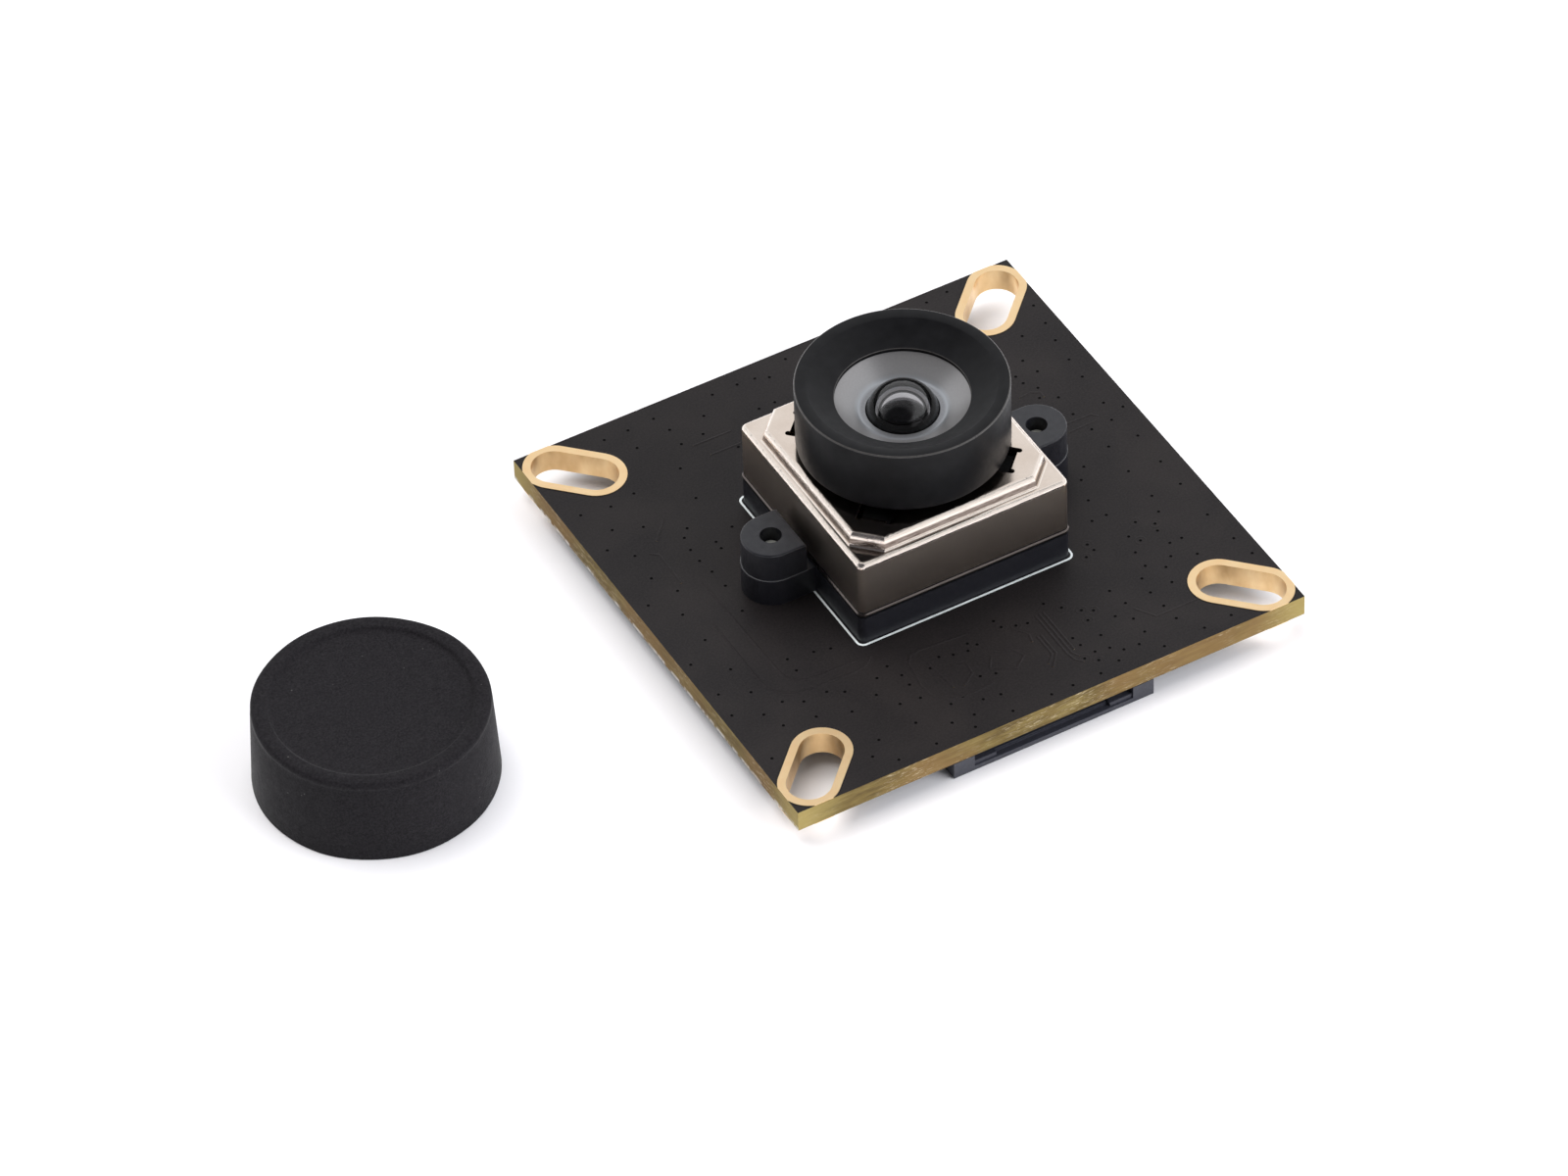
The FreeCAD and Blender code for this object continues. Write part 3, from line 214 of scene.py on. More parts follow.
def can_look():
    """Drawn nickel silver, streaky along each fold. Painted highlight: a lighter colour on each fold. Painted
    shade: darker down its walls, on its flared foot and in a streaky band on the steep faces just below the
    top.
    """
    look = Look("drawn_nickel_silver", Metallic=1.0)
    slope = look.maths("ABSOLUTE", look.normal("Z"))
    fold = look.ramp(slope, (0.12, 0.0), (0.32, 1.0), (0.90, 1.0), (0.985, 0.0))
    faces_x = look.maths("GREATER_THAN", look.maths("ABSOLUTE", look.normal("X")),
                         look.maths("ABSOLUTE", look.normal("Y")))
    level = look.maths("DIVIDE", look.axis("Z"), 10.0)
    skirt = look.ramp(level, (0.262, 1.0), (0.270, 0.0))
    tone = look.ramp(look.noise(0.5, 3.0, 0.5), (0.3, (0.72, 0.615, 0.530)), (0.7, (0.80, 0.700, 0.615)))
    streaks = look.ramp(look.noise(3.0, 3.0, 0.6, (1.0, 1.0, 0.25)), (0.30, 0.0), (0.80, 0.16))
    metal = look.mix(streaks, tone, (0.60, 0.52, 0.46))
    # Painted highlight: the folds are drawn in a lighter colour.
    metal = look.mix(look.maths("MULTIPLY", fold, 0.8), metal, (0.92, 0.83, 0.75))
    # Painted shade: the walls are drawn darker than the top.
    metal = look.mix(look.ramp(slope, (0.05, 0.75), (0.15, 0.0)), metal, (0.54, 0.47, 0.405))
    # Painted shade: the flared foot, below about 2.7 mm, is drawn nearly black.
    foot_shaded = look.mix(skirt, metal, (0.15, 0.13, 0.12))
    # Painted shade: a dark, streaky band on the steep faces between 7.0 and 7.4 mm high.
    step = look.ramp(level, (0.700, 0.0), (0.706, 1.0), (0.737, 1.0), (0.743, 0.0))
    steep = look.ramp(slope, (0.05, 0.0), (0.12, 1.0), (0.42, 1.0), (0.50, 0.0))
    marks = look.ramp(look.noise(2.2, 4.0, 0.7, (0.5, 0.5, 3.0)), (0.35, 0.75), (0.65, 1.0))
    step_band_shade = look.maths("MULTIPLY", step, look.maths("MULTIPLY", steep, marks))
    look.set("Base Color", look.mix(step_band_shade, foot_shaded, (0.125, 0.092, 0.074)))
    wall = look.ramp(slope, (0.05, 0.145), (0.15, 0.0))
    gloss = look.ramp(look.noise(1.0, 3.0, 0.5), (0.3, 0.145), (0.7, 0.165))
    shine = look.maths("MULTIPLY", fold, 0.06)
    look.set("Roughness", look.maths("SUBTRACT", look.maths("ADD", gloss, wall), shine))
    along_x = look.noise(7.0, 4.0, 0.62, (0.09, 1.0, 1.0), 0.3)
    along_y = look.noise(7.0, 4.0, 0.70, (1.0, 0.36, 1.0), 0.9)
    crumple = look.maths("MULTIPLY", look.mix(faces_x, along_x, along_y), fold)
    drawn = look.noise(0.9, 3.0, 0.5, (1.0, 1.0, 0.4))
    return look.bump((crumple, 0.044, 0.60), (drawn, 0.010, 0.12))


def barrel_look():
    """Satin black anodised head with faint turning lines."""
    look = Look("satin_black_barrel", Specular_IOR_Level=0.16)
    radius = look.vector("LENGTH", look.vector("MULTIPLY", look.place, (1.0, 1.0, 0.0)))
    turning = look.maths("SINE", look.maths("MULTIPLY", look.maths("ADD", radius, look.axis("Z")), 95.0))
    look.set("Base Color", look.ramp(look.noise(1.0, 4.0, 0.6), (0.35, (0.0040, 0.0040, 0.0046)),
                                     (0.75, (0.0070, 0.0070, 0.0080))))
    look.set("Roughness", look.ramp(look.noise(2.5, 3.0), (0.3, 0.33), (0.7, 0.41)))
    return look.bump((turning, 0.0008, 0.25), (look.noise(16.0, 2.0), 0.003, 0.35))


def frosted_look():
    """The satin dish round the front lens: grey, with fine grain and a few turning marks."""
    look = Look("satin_lens_dish", Metallic=0.72)
    radius = look.vector("LENGTH", look.vector("MULTIPLY", look.place, (1.0, 1.0, 0.0)))
    # Painted highlight: a lighter blue-grey ring at about 2.9 mm radius, with the dish darker towards the
    # groove inside it.
    highlight_bands = look.ramp(look.maths("DIVIDE", radius, GLASS_RADIUS), (0.57, (0.215, 0.220, 0.235)),
                      (0.62, (0.365, 0.385, 0.415)), (0.68, (0.300, 0.298, 0.305)),
                      (0.92, (0.285, 0.278, 0.281)))
    grain = look.ramp(look.noise(8.0, 3.0, 0.7), (0.40, 0.0), (0.72, 0.45))
    look.set("Base Color", look.mix(grain, highlight_bands, (0.34, 0.34, 0.345)))
    look.set("Roughness", look.ramp(look.noise(6.0, 2.0), (0.3, 0.29), (0.7, 0.34)))
    turning = look.maths("SINE", look.maths("MULTIPLY", radius, 40.0))
    return look.bump((look.noise(9.0, 3.0, 0.7), 0.002, 0.15), (turning, 0.0006, 0.2))


def glass_look(name, tint):
    """Coated optical glass."""
    look = Look(name, Transmission_Weight=1.0, IOR=1.52, Specular_IOR_Level=0.2)
    deeper = tuple(0.97 * channel for channel in tint)
    look.set("Base Color", look.ramp(look.noise(0.6, 1.0), (0.2, tint), (0.8, deeper)))
    look.set("Roughness", look.ramp(look.noise(0.8, 1.0), (0.2, 0.012), (0.8, 0.02)))
    return look


def rubber_look():
    """Matt black rubber with a fine moulded grain and a little dust."""
    look = Look("matt_black_rubber", Specular_IOR_Level=0.12, Sheen_Weight=0.10, Sheen_Roughness=0.35)
    tone = look.ramp(look.noise(7.0, 3.0, 0.75), (0.34, (0.0058, 0.0053, 0.0064)),
                     (0.66, (0.0178, 0.0164, 0.0188)))
    dust = look.ramp(look.cells(1.25), (0.045, 1.0), (0.085, 0.0))
    some = look.ramp(look.noise(0.9, 2.0), (0.50, 0.0), (0.62, 0.60))
    look.set("Base Color", look.mix(look.maths("MULTIPLY", dust, some), tone, (0.10, 0.096, 0.094)))
    look.set("Roughness", look.ramp(look.noise(2.0, 3.0), (0.3, 0.66), (0.7, 0.80)))
    return look.bump((look.noise(6.0, 3.0, 0.7), 0.035, 0.7), (look.noise(0.9, 2.0), 0.02, 0.15))


def metal_look(name, colour, roughness, grain=5.0, metallic=1.0):
    """Small metal parts: plating with a slight bloom."""
    look = Look(name, Metallic=metallic)
    dull = tuple(0.72 * channel for channel in colour)
    look.set("Base Color", look.ramp(look.noise(1.4, 4.0, 0.6), (0.3, dull), (0.65, colour)))
    look.set("Roughness", look.ramp(look.noise(2.2, 3.0), (0.3, roughness - 0.05), (0.7, roughness + 0.08)))
    return look.bump((look.noise(grain, 3.0), 0.006, 0.4))


def print_look():
    """White screen-printed ink, a little thin in places."""
    look = Look("white_ink", Roughness=0.62)
    worn = look.ramp(look.noise(3.0, 4.0, 0.65), (0.32, 0.35), (0.45, 0.0))
    look.set("Base Color", look.mix(worn, (0.74, 0.79, 0.80), (0.36, 0.40, 0.41)))
    return look.bump((look.noise(9.0, 2.0), 0.01, 0.4))


LOOKS = {
    "black_mask": board_look(),
    "gold": gold_look(),
    "black_nylon": moulding_look("black_nylon_holder", (0.0046, 0.0047, 0.0074), 0.44, specular=0.70),
    "steel": metal_look("zinc_plated_screw", (0.66, 0.67, 0.62), 0.30, metallic=0.6),
    "nickel_silver": can_look(),
    "carrier_plastic": moulding_look("black_polymer", (0.004, 0.004, 0.004), 0.60, specular=0.15),
    "lens_black": barrel_look(),
    "lens_glass": glass_look("coated_lens_glass", (0.60, 0.34, 0.34)),
    "connector_plastic": moulding_look("slate_connector", (0.026, 0.027, 0.036), 0.42, 4.0, 0.02),
    "rubber": rubber_look(),
    "filter_glass": glass_look("infrared_filter_glass", (0.55, 0.80, 0.76)),
    "sensor_ceramic": moulding_look("dark_ceramic", (0.06, 0.06, 0.065), 0.6),
    "silicon": metal_look("mosaic_silicon", (0.22, 0.20, 0.30), 0.18, 30.0),
    "magnet_nickel": metal_look("nickel_plated_magnet", (0.66, 0.65, 0.63), 0.2),
    "copper": metal_look("enamelled_copper", (0.62, 0.28, 0.12), 0.32, 20.0),
    "spring_copper": metal_look("spring_bronze", (0.80, 0.50, 0.26), 0.28),
    "stop_film": moulding_look("black_film", (0.004, 0.004, 0.004), 0.7),
    "tin": metal_look("matt_tin", (0.70, 0.70, 0.71), 0.33),
    "chip_black": moulding_look("chip_compound", (0.014, 0.014, 0.015), 0.55),
    "capacitor_tan": moulding_look("tan_ceramic", (0.24, 0.155, 0.080), 0.5),
    "resistor_black": moulding_look("glazed_black", (0.012, 0.012, 0.016), 0.28),
    "oscillator_lid": metal_look("plated_lid", (0.72, 0.68, 0.60), 0.22),
}
FROSTED = frosted_look()
CLEAR = glass_look("front_lens_glass", (0.42, 0.41, 0.42))
PAINT = moulding_look("lens_edge_paint", (0.004, 0.004, 0.004), 0.6, specular=0.3)
INK = print_look()
# Painted highlight: a lighter grey for the barrel's rounded rim and inner lip.
EDGE_HIGHLIGHT = moulding_look("painted_edge_highlight", (0.034, 0.032, 0.031), 0.30, depth=0.002)
# Painted highlight: a light grey for the thin parting line round each lug.
PARTING_HIGHLIGHT = moulding_look("parting_line_highlight", (0.085, 0.085, 0.090), 0.45, depth=0.004)
VIA = moulding_look("plugged_hole", (0.0012, 0.0012, 0.0012), 0.7, specular=0.02)

for entry in frame["record"]["subparts"]:
    for holder in nodes[entry["node"]].material_slots:
        holder.material = LOOKS[entry["material_slot"]].material


# Meshes

def piece(name, mesh, looks, body="module"):
    item = bpy.data.objects.new(name, mesh)
    bpy.context.scene.collection.objects.link(item)
    for look in looks:
        mesh.materials.append(look.material)
    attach(item, body)
    return item


def from_bmesh(name, build, smooth=None):
    """A mesh from a bmesh. With an angle in degrees, edges sharper than it stay crisp."""
    mesh = bpy.data.meshes.new(name)
    bmesh.ops.recalc_face_normals(build, faces=build.faces)
    if smooth is not None:
        for face in build.faces:
            face.smooth = True
        for edge in build.edges:
            edge.smooth = edge.calc_face_angle(0.0) < math.radians(smooth)
    build.to_mesh(mesh)
    build.free()
    return mesh


def arc(cx, cz, radius, start, end, steps):
    """Points on an arc in the (radius, height) plane, in millimetres, with angles in degrees."""
    angles = [math.radians(start + (end - start) * step / steps) for step in range(steps + 1)]
    return [(cx + radius * math.cos(angle), cz + radius * math.sin(angle)) for angle in angles]


def turn(build, profile, slots=None, segments=160):
    """Turn a closed profile of (radius, height) points, in millimetres. Points on the axis become tips."""
    rings = []
    for radius, height in profile:
        if radius < 1e-6:
            rings.append([build.verts.new((0, 0, height * MM))])
            continue
        angles = [2 * math.pi * step / segments for step in range(segments)]
        rings.append([build.verts.new((radius * math.cos(a) * MM, radius * math.sin(a) * MM, height * MM))
                      for a in angles])
    for index, ring in enumerate(rings):
        after = rings[(index + 1) % len(rings)]
        if len(ring) == 1 and len(after) == 1:
            continue
        for step in range(segments):
            corners = [ring[step % len(ring)], ring[(step + 1) % len(ring)],
                       after[(step + 1) % len(after)], after[step % len(after)]]
            corners = list(dict.fromkeys(corners))
            face = build.faces.new(corners)
            face.material_index = slots[index] if slots else 0


def turned_mesh(name, *profiles, segments=160, smooth=32):
    """A mesh of turned shells. Each is a profile, alone or with the material index of each of its spans."""
    build = bmesh.new()
    for profile in profiles:
        shell, slots = profile if isinstance(profile, tuple) else (profile, None)
        turn(build, shell, slots, segments)
    return from_bmesh(name, build, smooth)


def flat_strip(build, points, width, low, high, closed=False, crest=1.0):
    """A band along points in the plane, in millimetres. Its top is the crest's share of the width."""
    points = [Vector(point) for point in points]
    count = len(points)
    sides = []
    for index, point in enumerate(points):
        before = points[index - 1] if index or closed else None
        after = points[(index + 1) % count] if index < count - 1 or closed else None
        stretches = [(a, b) for a, b in ((before, point), (point, after)) if a is not None and b is not None]
        runs = [(b - a).normalized() for a, b in stretches]
        run = sum(runs, Vector((0, 0))).normalized()
        side = Vector((-run.y, run.x))
        sides.append(side * (width / 2 / max(0.4, abs(side.dot(Vector((-runs[0].y, runs[0].x)))))))
    rows = []
    for share, level in ((1.0, low), (crest, high), (-crest, high), (-1.0, low)):
        outline = [point + side * share for point, side in zip(points, sides)]
        rows.append([build.verts.new((p.x * MM, p.y * MM, level * MM)) for p in outline])
    spans = range(count) if closed else range(count - 1)
    for step in spans:
        ahead = (step + 1) % count
        for row in range(4):
            beyond = rows[(row + 1) % 4]
            build.faces.new((rows[row][step], rows[row][ahead], beyond[ahead], beyond[step]))
    if not closed:
        build.faces.new([row[0] for row in rows])
        build.faces.new([row[-1] for row in rows])


def rounded_square(half, radius):
    steps = 6
    points = []
    for turn in range(4):
        centre = Matrix.Rotation(math.radians(90 * turn), 2) @ Vector((half - radius, half - radius))
        for step in range(steps + 1):
            angle = math.radians(90 * turn + 90 * step / steps)
            points.append((centre.x + radius * math.cos(angle), centre.y + radius * math.sin(angle)))
    return points


# The lens: barrel and front element as smooth turned forms

def barrel_mesh():
    low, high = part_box("lens_barrel")
    head = high.x / MM
    top = high.z / MM
    bore, neck, bottom, head_bottom = 4.72, 5.20, low.z / MM, 8.40
    foot = [(bore, bottom), (neck, bottom), (neck, head_bottom),
            *arc(head - 0.15, head_bottom + 0.15, 0.15, -90, 0, 4)]
    rim = arc(head - 0.10, top - 0.10, 0.10, 5, 85, 5)
    cone = [(6.28, top - 0.045), (6.20, top - 0.075), (4.55, 11.985)]
    lip = arc(4.50, 11.92, 0.06, 110, 180, 4)
    seat = [(4.44, GLASS_SEAT), (bore, GLASS_SEAT)]
    # The rim and lip spans take the lighter painted-highlight material.
    black, bare = 0, 1
    kinds = [black] * len(foot) + [bare] * (len(rim) - 1) + [black] * (len(cone) + 1)
    kinds += [bare] * (len(lip) - 1) + [black] * (len(seat) + 1)
    return turned_mesh("lens_barrel_turned", (foot + rim + cone + lip + seat, kinds))


def front_glass_mesh():
    """The dish is satin, painted black behind. The dome and its hollow are clear, between black walls."""
    satin, clear, paint = 0, 1, 2
    back, groove, rim = 9.82, 10.75, GLASS_SEAT - 0.02
    dish = [(2.44, back), (GLASS_RADIUS, back), (GLASS_RADIUS, rim), (4.44, rim), (4.15, 11.49),
            (3.75, 11.25), (3.35, 11.025), (2.98, 10.83), (2.90, 10.775), (2.80, 10.755), (2.44, groove)]
    dome = cap_arc(2.38, groove, 1.90, 18)
    hollow = cap_arc(1.65, back, 1.50, 14)[::-1]
    dish_kinds = [paint, paint] + [satin] * (len(dish) - 3) + [paint]
    lens_kinds = [paint] + [clear] * len(dome) + [clear] * (len(hollow) - 1) + [paint]
    shells = ((dish, dish_kinds), ([(2.38, back), *dome, *hollow], lens_kinds))
    return turned_mesh("front_glass_turned", *shells, segments=144, smooth=24)


def cap_arc(rim, level, rise, steps):
    """Points on a round cap from its rim up to its apex, as (radius, height)."""
    curve = (rim ** 2 + rise ** 2) / (2 * rise)
    reach = math.asin(rim / curve) if rise < curve else math.pi - math.asin(rim / curve)
    middle = level + rise - curve
    angles = [reach * (1 - step / steps) for step in range(steps + 1)]
    return [(curve * math.sin(angle), middle + curve * math.cos(angle)) for angle in angles]


barrel = piece("lens_barrel_turned", barrel_mesh(), [LOOKS["lens_black"], EDGE_HIGHLIGHT],
               "focus_group")
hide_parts("lens_barrel")
front = piece("front_glass", front_glass_mesh(), [FROSTED, CLEAR, PAINT], "focus_group")
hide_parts("front_element")


# The board's print, tracks and filled holes

HOLES = (
    (-11.1, -18.2), (-8.3, -18.2), (-5.4, -18.2), (-2.6, -18.2), (0.3, -18.2), (1.9, -18.2), (4, -18.2),
    (8.8, -18.2), (11.9, -18.1), (14, -18), (5.6, -17.8), (-4.9, -17.2), (7.5, -17.2), (-12.4, -17.1),
    (-6.5, -17.1), (6.4, -17.1), (-2.5, -16.5), (5.7, -16.5), (8.4, -16.4), (10.8, -16.4), (-3.7, -16.3),
    (4.7, -16.3), (-11.3, -16), (-8.5, -15.9), (-5.7, -15.6), (-4.7, -15.4), (4.2, -15.3), (5.8, -15.2),
    (8.4, -15), (10.7, -15), (-1.8, -14.7), (4.1, -14.5), (-2.8, -14.4), (7.5, -14.2), (-7.1, -14.1),
    (-18, -13.9), (-8.5, -13.9), (18.2, -13.8), (8.7, -13.5), (10.6, -13.5), (12.3, -13.4), (-11.5, -12.9),
    (-7.1, -12.7), (-9.4, -12.4), (-13.7, -12.1), (-5.2, -12.1), (10.8, -12.1), (-2.3, -12), (8.4, -12),
    (12.7, -12), (15.1, -12), (17.9, -12), (-3.3, -11.8), (-1.5, -11.8), (2.3, -11.8), (-15.9, -11.7),
    (-7.1, -11.7), (-4.2, -11.5), (-2, -11.4), (13.5, -11.3), (11.6, -11.2), (-11, -11.1), (-8.6, -11.1),
    (4.1, -10.8), (-13.7, -10.5), (-12, -10.5), (-7.5, -10.5), (0.5, -10.5), (-16.5, -10.2), (14.1, -10.2),
    (15, -10.2), (-14.9, -9.8), (11.7, -9.8), (-18.3, -9.2), (17.6, -9.2), (14, -8.8), (12.1, -8.3),
    (9.5, -8.2), (-16.2, -8), (-12.7, -7.8), (15, -7.3), (-9.8, -7.2), (-18.1, -7.1), (-10.9, -6.9),
    (-12.7, -6.6), (10.8, -5.8), (11.9, -5.8), (15.4, -5.8), (17.6, -5.8), (-16.3, -5.5), (11.6, -4),
    (-18.3, -3.8), (17.6, -3.3), (15.3, -3), (-16.4, -2.3), (12.2, -2.1), (-13, -1.2), (13, -1.1),
    (17.6, -0.4), (15.4, -0.3), (-16.5, 0.5), (-12.8, 1.4), (15.3, 1.7), (16.9, 1.8), (-18, 2.4),
    (18.2, 2.5), (-15.7, 2.6), (-12.9, 3), (17.3, 3.5), (15, 3.6), (-13.1, 4.3), (-16.6, 4.5), (-11.3, 4.6),
    (-11.3, 5.3), (-13.1, 5.5), (15, 5.5), (-9.7, 6), (13.9, 6.1), (17.4, 6.4), (-12.9, 6.7), (-16.5, 6.9),
    (14.3, 7), (-12.3, 7.4), (13.7, 7.9), (-17.8, 8.3), (17.5, 8.3), (15.1, 8.4), (13.6, 8.7), (-14.7, 9),
    (-16.6, 9.8), (14.8, 9.8), (17.7, 10.4), (-15.6, 11.8), (16, 11.9), (-17.7, 12.1), (-13.7, 12.1),
    (18, 12.2), (18.2, 14.1), (-8.7, 14.6), (-7, 14.7), (-2.6, 14.9), (-1.4, 14.9), (-11.4, 15.8),
    (-8.7, 16.2), (-6.1, 16.2), (-0.5, 17.2), (-12.9, 17.6), (-11.1, 17.6), (-1.4, 17.6), (-9.1, 17.7),
    (-4.6, 17.7), (-2.7, 17.7), (12.2, 18.1), (1.3, 18.2), (13.9, 18.3), (4.2, 17.4), (7.1, 18.0),
    (9.6, 16.6), (3.0, 13.4), (6.4, 11.8), (-5.6, 12.4), (-9.9, 12.6), (9.0, 12.9), (11.4, 14.4),
    (-10.4, 9.6),
)
RINGED_HOLES = (
    (14.21, -8.15), (12.57, -9.01), (13.18, -7.37), (9.39, -7.54), (8.73, -8.52), (5.79, -13.59),
    (5.9, -12.59), (6.57, -13.0), (1.54, -11.6), (0.65, -11.23), (4.93, -11.71), (3.8, -16.5), (4.5, -17.1),
)
TRACKS = (
    ((-13.9, 2.8), (-13.84, -2.5), (-13.72, -7.23), (-13.6, -7.99), (-13.2, -8.53), (-12.5, -8.9),
     (-8.97, -9.02)),
    ((-15.2, -1.3), (-15.23, -7.4), (-15.1, -8.27), (-14.57, -9.02), (-13.49, -9.67), (-9.7, -9.87),
     (-8.66, -9.74), (-8.0, -9.23)),
    ((-1.46, -10.6), (-5.07, -10.3), (-5.75, -10.45), (-6.15, -10.98), (-6.5, -13.17), (-6.3, -14.55),
     (-5.49, -15.2), (-3.93, -15.45), (-2.2, -15.3)),
    ((-5.1, -11.61), (-4.79, -14.41)),
    ((3.06, -11.48), (3.06, -15.57), (3.22, -16.29), (3.63, -16.75)),
    ((3.36, -11.43), (3.36, -15.62), (3.64, -16.13)),
    ((3.66, -11.43), (3.66, -15.43)),
    ((2.2, -13.16), (2.2, -15.05), (1.55, -15.71)),
    ((2.47, -13.18), (2.47, -15.13), (1.65, -16.12)),
    ((1.21, -11.75), (1.85, -12.73), (1.68, -13.44)),
    ((13.87, 3.0), (16.0, 2.95), (16.3, 2.62), (16.0, 2.28), (13.87, 2.2)),
    ((12.73, 6.79), (13.64, 6.87), (14.2, 6.53), (14.19, 6.03)),
    ((-8.11, 14.04), (-5.26, 14.0)),
    ((-7.57, 12.67), (-5.0, 12.64)),
    ((-15.6, 6.6), (-15.1, 6.12), (-15.15, 3.09)),
    ((-14.62, 7.36), (-13.2, 8.92)),
    ((-0.9, -12.9), (0.2, -13.4), (0.6, -14.2), (-0.4, -15.0), (-1.9, -14.1), (-1.3, -13.2)),
    ((-3.9, -12.6), (-3.0, -13.0), (-3.1, -13.9), (-4.1, -14.6)),
    ((8.9, -14.2), (9.8, -15.6), (12.9, -15.6), (13.4, -14.9)),
    ((9.9, 4.6), (11.2, 4.9), (11.7, 6.4), (11.0, 9.8)),
)
UNDERSIDE_TRACKS = tuple(
    ((x, -13.7), (x, -12.6 + abs(x) * 0.12), (x * 1.25, -11.6 + abs(x) * 0.12), (x * 1.25, -6.5 - abs(x) * 0.3))
    for x in (-3.5, -3.1, -2.7, -0.9, -0.5, 0.9, 1.3, 3.1, 3.5)
) + (
    ((-6.6, -1.0), (-4.2, -1.0), (-2.6, 0.6), (-2.6, 5.2), (-4.0, 6.6)),
    ((6.6, -1.0), (4.2, -1.0), (2.6, 0.6), (2.6, 5.2), (4.0, 6.6)),
    ((-14.6, -3.4), (-12.9, -5.1), (-12.9, -9.0), (-9.9, -12.0)),
    ((12.9, 3.2), (14.6, 1.5), (14.6, -6.0), (10.2, -10.4)),
)


def ring_of(build, x, y, radius, level):
    """A ring of corners round a place in the plane, in millimetres."""
    sides = 12
    turns = [2 * math.pi * step / sides for step in range(sides)]
    places = [(x + radius * math.cos(turn), y + radius * math.sin(turn)) for turn in turns]
    return [build.verts.new((across * MM, along * MM, level * MM)) for across, along in places]


def add_collar(build, x, y, levels):
    """A raised collar round a filled hole, through (radius, level) pairs."""
    rows = [ring_of(build, x, y, radius, level) for radius, level in levels]
    for row, after in zip(rows, rows[1:]):
        for step in range(len(row)):
            ahead = (step + 1) % len(row)
            build.faces.new((row[step], row[ahead], after[ahead], after[step]))


def board_details():
    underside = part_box("circuit_board")[0].z / MM
    collars, plugs, tracks = bmesh.new(), bmesh.new(), bmesh.new()
    for x, y in HOLES + RINGED_HOLES:
        for side, face in ((1, 0.0), (-1, underside)):
            plugs.faces.new(ring_of(plugs, x, y, 0.11, face + side * 0.003))
            crest, rim = face + side * 0.004, face + side * 0.0045
            add_collar(collars, x, y, [(0.18, face), (0.145, crest), (0.105, rim)])
    for x, y in RINGED_HOLES:
        add_collar(collars, x, y, [(0.42, 0.0), (0.38, 0.010), (0.32, 0.010), (0.28, 0.0)])
    for line in TRACKS:
        flat_strip(tracks, line, 0.20, 0.0, 0.022, crest=0.30)
    for line in UNDERSIDE_TRACKS:
        flat_strip(tracks, line, 0.20, underside - 0.022, underside, crest=1.0)
    piece("hole_collars", from_bmesh("hole_collars", collars, 50), [LOOKS["black_mask"]])
    piece("hole_plugs", from_bmesh("hole_plugs", plugs), [VIA])
    piece("covered_tracks", from_bmesh("covered_tracks", tracks), [LOOKS["black_mask"]])
    outline = bmesh.new()
    flat_strip(outline, rounded_square(8.08, 0.46), 0.14, 0.0, 0.02, closed=True)
    piece("printed_outline", from_bmesh("printed_outline", outline), [INK])


def parting_lines():
    """The thin line where the two mould halves meet, round each screw lug, drawn lighter than the moulding as a
    painted highlight.
    """
    build = bmesh.new()
    for side in (-1, 1):
        middle, radius = 10.05, 2.035
        turns = [math.radians(-90 + 180 * step / 24) for step in range(25)]
        bow = [(middle + radius * math.cos(turn), radius * math.sin(turn)) for turn in turns]
        line = [(8.5, -radius), *bow, (8.5, radius)]
        flat_strip(build, [(side * x, y) for x, y in line], 0.05, 2.11, 2.165)
    piece("parting_lines", from_bmesh("parting_lines", build), [PARTING_HIGHLIGHT])


def block(build, low, high):
    """A box from corner to corner, in millimetres."""
    places = [(x, y, z) for x in (low[0], high[0]) for y in (low[1], high[1]) for z in (low[2], high[2])]
    corners = [build.verts.new((x * MM, y * MM, z * MM)) for x, y, z in places]
    for side in ((0, 1, 3, 2), (4, 6, 7, 5), (0, 4, 5, 1), (2, 3, 7, 6), (0, 2, 6, 4), (1, 5, 7, 3)):
        build.faces.new([corners[index] for index in side])


def slider_steps():
    """The raised ends and the bar on the inner side of the slider's lip."""
    low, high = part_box("cable_slider")
    front, lip = low.y / MM, low.z / MM + 0.36
    build = bmesh.new()
    for side in (-1, 1):
        block(build, (min(side * 4.25, side * 5.93), front + 0.12, lip - 0.05),
              (max(side * 4.25, side * 5.93), front + 0.70, lip + 0.34))
    block(build, (-4.27, front + 0.42, lip - 0.05), (4.27, front + 0.66, lip + 0.14))
    bmesh.ops.bevel(build, geom=build.edges[:], offset=0.03 * MM, segments=2, affect="EDGES")
    piece("slider_steps", from_bmesh("slider_steps", build, 30), [LOOKS["connector_plastic"]],
          "cable_lock")


board_details()
parting_lines()
slider_steps()


# The cap, with a soft rounded rim round a shallow dished top

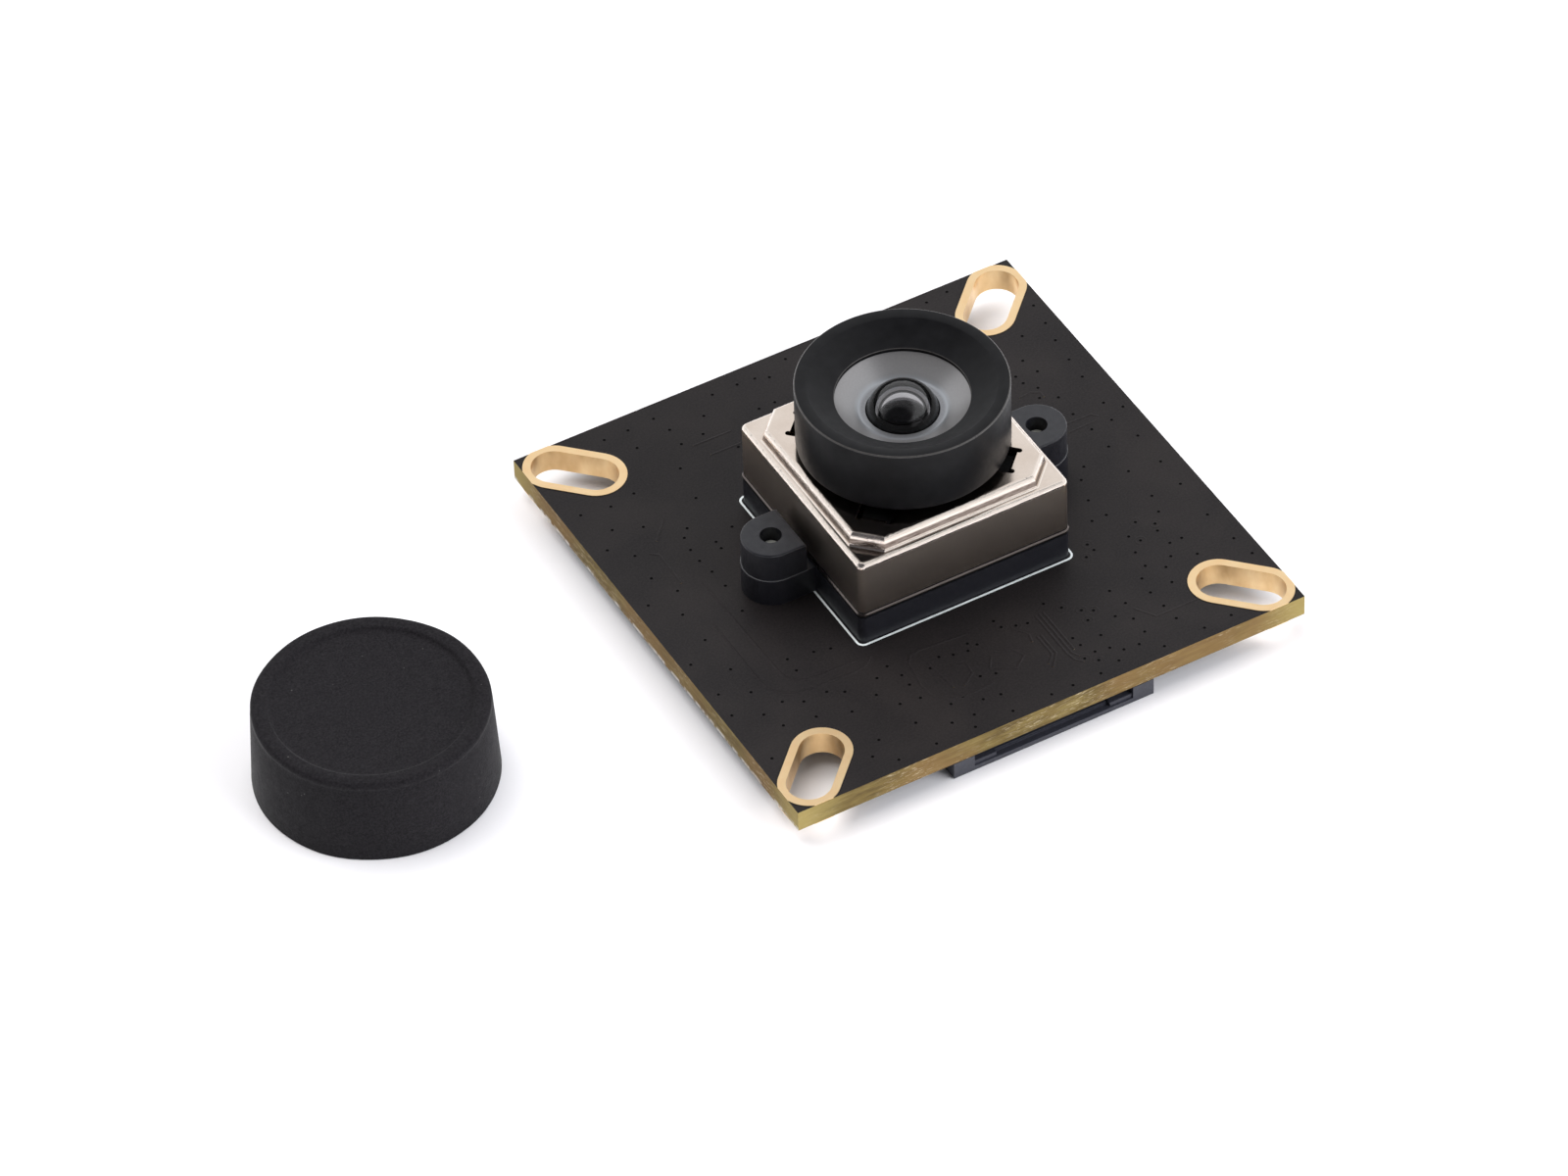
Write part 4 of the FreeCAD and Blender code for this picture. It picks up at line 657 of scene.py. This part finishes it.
def cap_mesh():
    low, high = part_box("lens_cap")
    middle = (low + high) / 2
    foot, top = low.z / MM, high.z / MM
    reach = (high.x - low.x) / 2 / MM
    shoulder = reach - 0.32
    outside = [(reach - 0.06, foot), (reach, foot + 0.07), (reach - 0.02, foot + 0.5),
               (shoulder + 0.04, top - 0.85), (shoulder - 0.035, top - 0.60), (shoulder, top - 0.46)]
    rim = arc(shoulder - 0.32, top - 0.33, 0.32, 0, 84, 7)
    dish = [(shoulder - 0.62, top), (shoulder - 0.98, top - 0.03), (shoulder - 1.10, top - 0.06),
            (shoulder - 1.18, top - 0.17), (shoulder - 1.28, top - 0.235), (shoulder - 1.50, top - 0.25),
            (0.0, top - 0.21)]
    grip, roof = 7.10, foot + 5.0
    hollow = [(0.0, roof), (grip - 0.1, roof), (grip, roof - 0.1), (grip, foot + 0.2), (grip + 0.18, foot)]
    mesh = turned_mesh("lens_cap_turned", outside + rim + dish + hollow, segments=180, smooth=40)
    rng = random.Random(5)
    waves = [(rng.uniform(2, 9), rng.uniform(0, 6.28), rng.uniform(0.004, 0.012)) for _ in range(6)]
    for vertex in mesh.vertices:
        x, y, z = vertex.co / MM
        turn = math.atan2(y, x)
        if math.hypot(x, y) > 7.35:
            bend = sum(size * math.sin(round(count) * turn + phase) for count, phase, size in waves) - 0.03
            x, y = x + bend * math.cos(turn), y + bend * math.sin(turn)
        vertex.co = Vector((x * MM + middle.x, y * MM + middle.y, z * MM))
    return mesh


cap = piece("lens_cap_turned", cap_mesh(), [LOOKS["rubber"]])
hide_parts("lens_cap")


# Floor, light and camera

def light_tent():
    """A white tent all round, with a dark opening overhead on the front side."""
    world = bpy.data.worlds.new("studio")
    bpy.context.scene.world = world
    world.use_nodes = True
    tree = world.node_tree
    place = tree.nodes.new("ShaderNodeTexCoord")
    facing = tree.nodes.new("ShaderNodeVectorMath")
    facing.operation = "DOT_PRODUCT"
    facing.inputs[1].default_value = (-0.50, -0.30, 0.81)
    tree.links.new(place.outputs["Generated"], facing.inputs[0])
    ramp = tree.nodes.new("ShaderNodeValToRGB")
    tree.links.new(facing.outputs["Value"], ramp.inputs["Fac"])
    bright, dark = ramp.color_ramp.elements
    bright.position, bright.color = 0.56, (0.97, 0.98, 1.0, 1.0)
    dark.position, dark.color = 0.70, (0.10, 0.10, 0.11, 1.0)
    background = tree.nodes["Background"]
    tree.links.new(ramp.outputs["Color"], background.inputs["Color"])
    background.inputs["Strength"].default_value = 1.0


def surroundings():
    floor_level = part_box("cable_housing")[0].z
    mesh = bpy.data.meshes.new("floor")
    reach = 1.5
    corners = [(reach * x, reach * y, floor_level) for x, y in ((-1, -1), (1, -1), (1, 1), (-1, 1))]
    mesh.from_pydata(corners, [], [(0, 1, 2, 3)])
    floor = bpy.data.objects.new("floor", mesh)
    bpy.context.scene.collection.objects.link(floor)
    look = Look("pale_floor", Specular_IOR_Level=0.2)
    tone = look.ramp(look.noise(0.002, 1.0), (0.2, (0.88, 0.875, 0.905)), (0.8, (0.89, 0.885, 0.91)))
    look.set("Base Color", tone)
    look.set("Roughness", 0.7)
    mesh.materials.append(look.material)
    light_tent()
    for name, place, size, power, tint in (
        ("key", (-0.60, 0.72, 2.50), 2.6, 74.0, (1.0, 0.985, 0.96)),
        ("fill", (1.60, -2.00, 1.20), 2.4, 80.0, (0.97, 0.98, 1.0)),
    ):
        data = bpy.data.lights.new(name, "AREA")
        data.shape = "SQUARE"
        data.size = size
        data.energy = power
        data.color = tint
        lamp = bpy.data.objects.new(name, data)
        bpy.context.scene.collection.objects.link(lamp)
        lamp.location = place
        lamp.visible_glossy = False
        lamp.visible_transmission = False
        lamp.rotation_mode = "QUATERNION"
        lamp.rotation_quaternion = (Vector((-0.012, 0, 0)) - Vector(place)).to_track_quat("-Z", "Y")


def camera():
    data = bpy.data.cameras.new("camera")
    data.sensor_width = 36.0
    data.lens = 208.02
    data.clip_start, data.clip_end = 0.05, 10.0
    item = bpy.data.objects.new("camera", data)
    bpy.context.scene.collection.objects.link(item)
    right = Vector((0.86844, -0.49511, -0.02587))
    up = Vector((0.36310, 0.59962, 0.71317))
    back = Vector((-0.33759, -0.62874, 0.70051))
    turn = Matrix((right, up, back)).transposed()
    item.rotation_mode = "QUATERNION"
    item.rotation_quaternion = turn.to_quaternion()
    item.location = Vector((-209.244, -372.549, 414.220)) * MM
    bpy.context.scene.camera = item


surroundings()
camera()
bpy.context.scene.view_settings.view_transform = "Standard"
